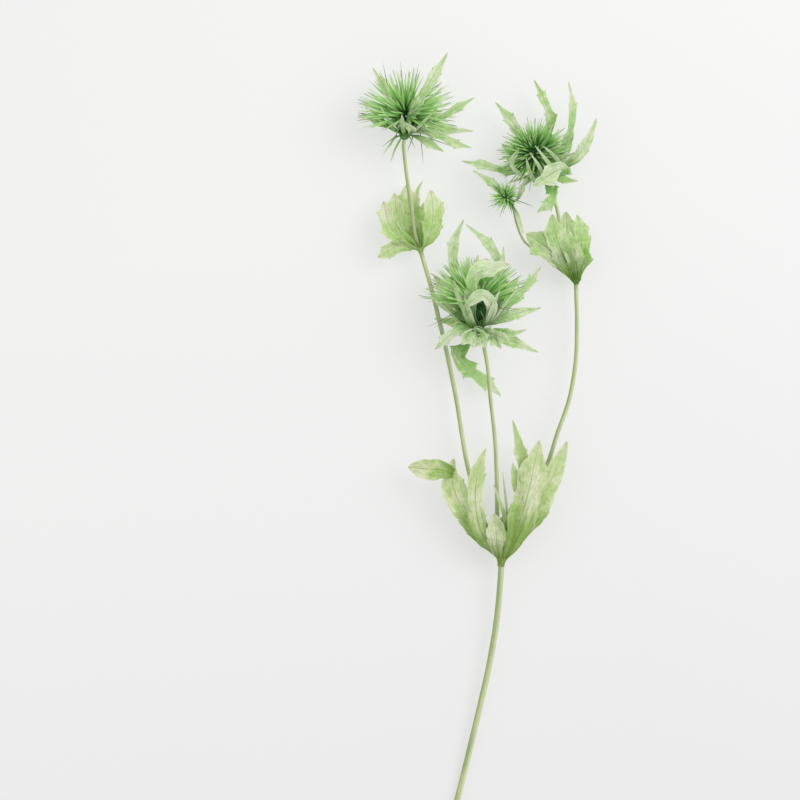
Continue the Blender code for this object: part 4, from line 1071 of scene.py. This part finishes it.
def stemFinish(name, paint):
    finish = Finish(name)
    blend, stretch = finish.blend, finish.stretch
    around = finish.tintColour()
    ribs = finish.node("ShaderNodeMapping", {}, {"Vector": around, "Scale": (4.2, 4.2, 3.0)})[0]
    rib = finish.noise(1.0, vector=ribs)
    side = finish.node("ShaderNodeSeparateColor", {}, {0: around})[0]
    grain = finish.noise(1500.0)
    body = blend(stretch(finish.noise(38.0), 0.35, 0.65), paint["light"], paint["green"])
    body = blend(stretch(rib, 0.5, 0.75) * 0.5, body, paint["pale"])
    body = blend(stretch(rib, 0.5, 0.3) * 0.45, body, paint["olive"])
    # painted light and shade: the stem is painted paler on its right side and olive on its left, as the light
    # falls on it
    body = blend(stretch(side, 0.45, 0.8) * 0.5, body, paint["pale"])
    body = blend(stretch(side, 0.4, 0.1) * 0.35, body, paint["olive"])
    # painted shade: the stem darkens to olive where it runs into each whorl, under its leaves
    for fork in forks:
        gap = finish.node("ShaderNodeVectorMath", {"operation": "DISTANCE"},
                          {0: finish.place, 1: toWorld(fork["place"])})["Value"]
        body = blend(stretch(gap, 0.002, 0.007, 0.75, 0.0), body, paint["olive"])
    lengthwise = finish.node("ShaderNodeSeparateXYZ", {}, {0: finish.place})[1]
    cut = cadBox[0][1] + paint["pithDepth"] * mm
    body = blend(stretch(lengthwise, cut, cut + 0.3 * mm, 1.0, 0.0), body, paint["pith"])
    finish.surface(paint, body, grain, rib + grain * 0.2)
    return finish.material


# floor, light and camera; sizes and places here are metres
stageLook = dict(
    floorSize=30,
    floorNear=(0.36, 0.36, 0.365),
    floorFar=(0.44, 0.438, 0.432),
    floorGlow=0.51,
    skyStrength=0.6,
    lamps=(("mainLight", 8.0, 1.0, (0.8, 0.5, 1.1)),       # name, power, size and place
           ("fillLight", 1.6, 1.4, (-0.9, -0.1, 1.0))),
)
cameraLook = dict(
    distance=2.0,
    width=0.480,           # what the frame shows at the level of the heads
    level=0.018,
    aim=(-0.0456, 0.0323),
    sensor=36,
)


def buildStage():
    bpy.ops.mesh.primitive_plane_add(size=stageLook["floorSize"], location=(0, 0, 0))
    floor = bpy.context.object
    floor.name = "paleFloor"
    finish = Finish("paleFloorFinish")
    where = finish.node("ShaderNodeSeparateXYZ", {}, {0: finish.place})
    # painted light: the floor pales from near to far and towards the left, as the light falls off across it
    paintedLightFall = finish.stretch(where[1], -0.25, 0.28) + finish.stretch(where[0], 0.1, -0.3) * 0.4
    paintedLightFall = paintedLightFall + finish.noise(3.0, 2.0) * 0.02
    finish.feed("Base Color", finish.blend(paintedLightFall, stageLook["floorNear"], stageLook["floorFar"]))
    # the floor glows as well as reflects: painted light, which pales the shadows on it and lights the plant
    # from below
    finish.feed("Emission Color", (1.0, 1.0, 1.0, 1.0))
    finish.feed("Emission Strength", stageLook["floorGlow"])
    finish.feed("Roughness", 0.95)
    finish.feed("Specular IOR Level", 0.0)
    floor.data.materials.append(finish.material)
    world = bpy.data.worlds.new("softStudio")
    world.use_nodes = True
    sky = world.node_tree.nodes["Background"].inputs
    sky["Color"].default_value = (1.0, 1.0, 1.0, 1.0)
    sky["Strength"].default_value = stageLook["skyStrength"]
    bpy.context.scene.world = world
    for name, power, size, place in stageLook["lamps"]:
        bpy.ops.object.light_add(type="AREA", location=place)
        lamp = bpy.context.object
        lamp.name = name
        lamp.data.energy = power
        lamp.data.size = size
        lamp.rotation_euler = (-Vector(place)).to_track_quat("-Z", "Y").to_euler()


def buildCamera():
    look = cameraLook
    bpy.ops.object.camera_add(location=(*look["aim"], look["distance"] + look["level"]), rotation=(0, 0, 0))
    camera = bpy.context.object
    camera.data.sensor_width = look["sensor"]
    camera.data.lens = look["sensor"] * look["distance"] / look["width"]
    bpy.context.scene.camera = camera
    bpy.context.scene.view_settings.view_transform = "Standard"


print("finishes")
leafGreen = leafFinish("leafFinish", leafPaint)
leftLitLeafGreen = leafFinish("leftLitLeafFinish", leftLitLeafPaint)
rightShadedLeafGreen = leafFinish("rightShadedLeafFinish", rightShadedLeafPaint)
bractGreen = leafFinish("bractFinish", bractPaint)
coneGreen = coneFinish("coneFinish", conePaint)
rightConeGreen = coneFinish("rightConeFinish", rightConePaint)
stemGreen = stemFinish("stemFinish", stemPaint)

print("stem")
buildStem(stemGreen)
print("whorls")
buildWhorl("main_whorl", mainWhorlLeaves, mainFork, 5, leafGreen)
buildWhorl("left_whorl", leftWhorlLeaves, leftFork, 6, leftLitLeafGreen)
buildWhorl("right_whorl", rightWhorlLeaves, rightFork, 7, rightShadedLeafGreen)
print("heads")
for head, bracts, green in ((leftHead, leftHeadBracts, coneGreen),
                            (centreHead, centreHeadBracts + centreHeadInnerBracts, coneGreen),
                            (rightHead, rightHeadBracts + rightHeadInnerBracts, rightConeGreen),
                            (budHead, budBracts, coneGreen)):
    buildBracts(head, bracts, bractGreen)
    buildCone(head, green)
print("stage and camera")
buildStage()
buildCamera()
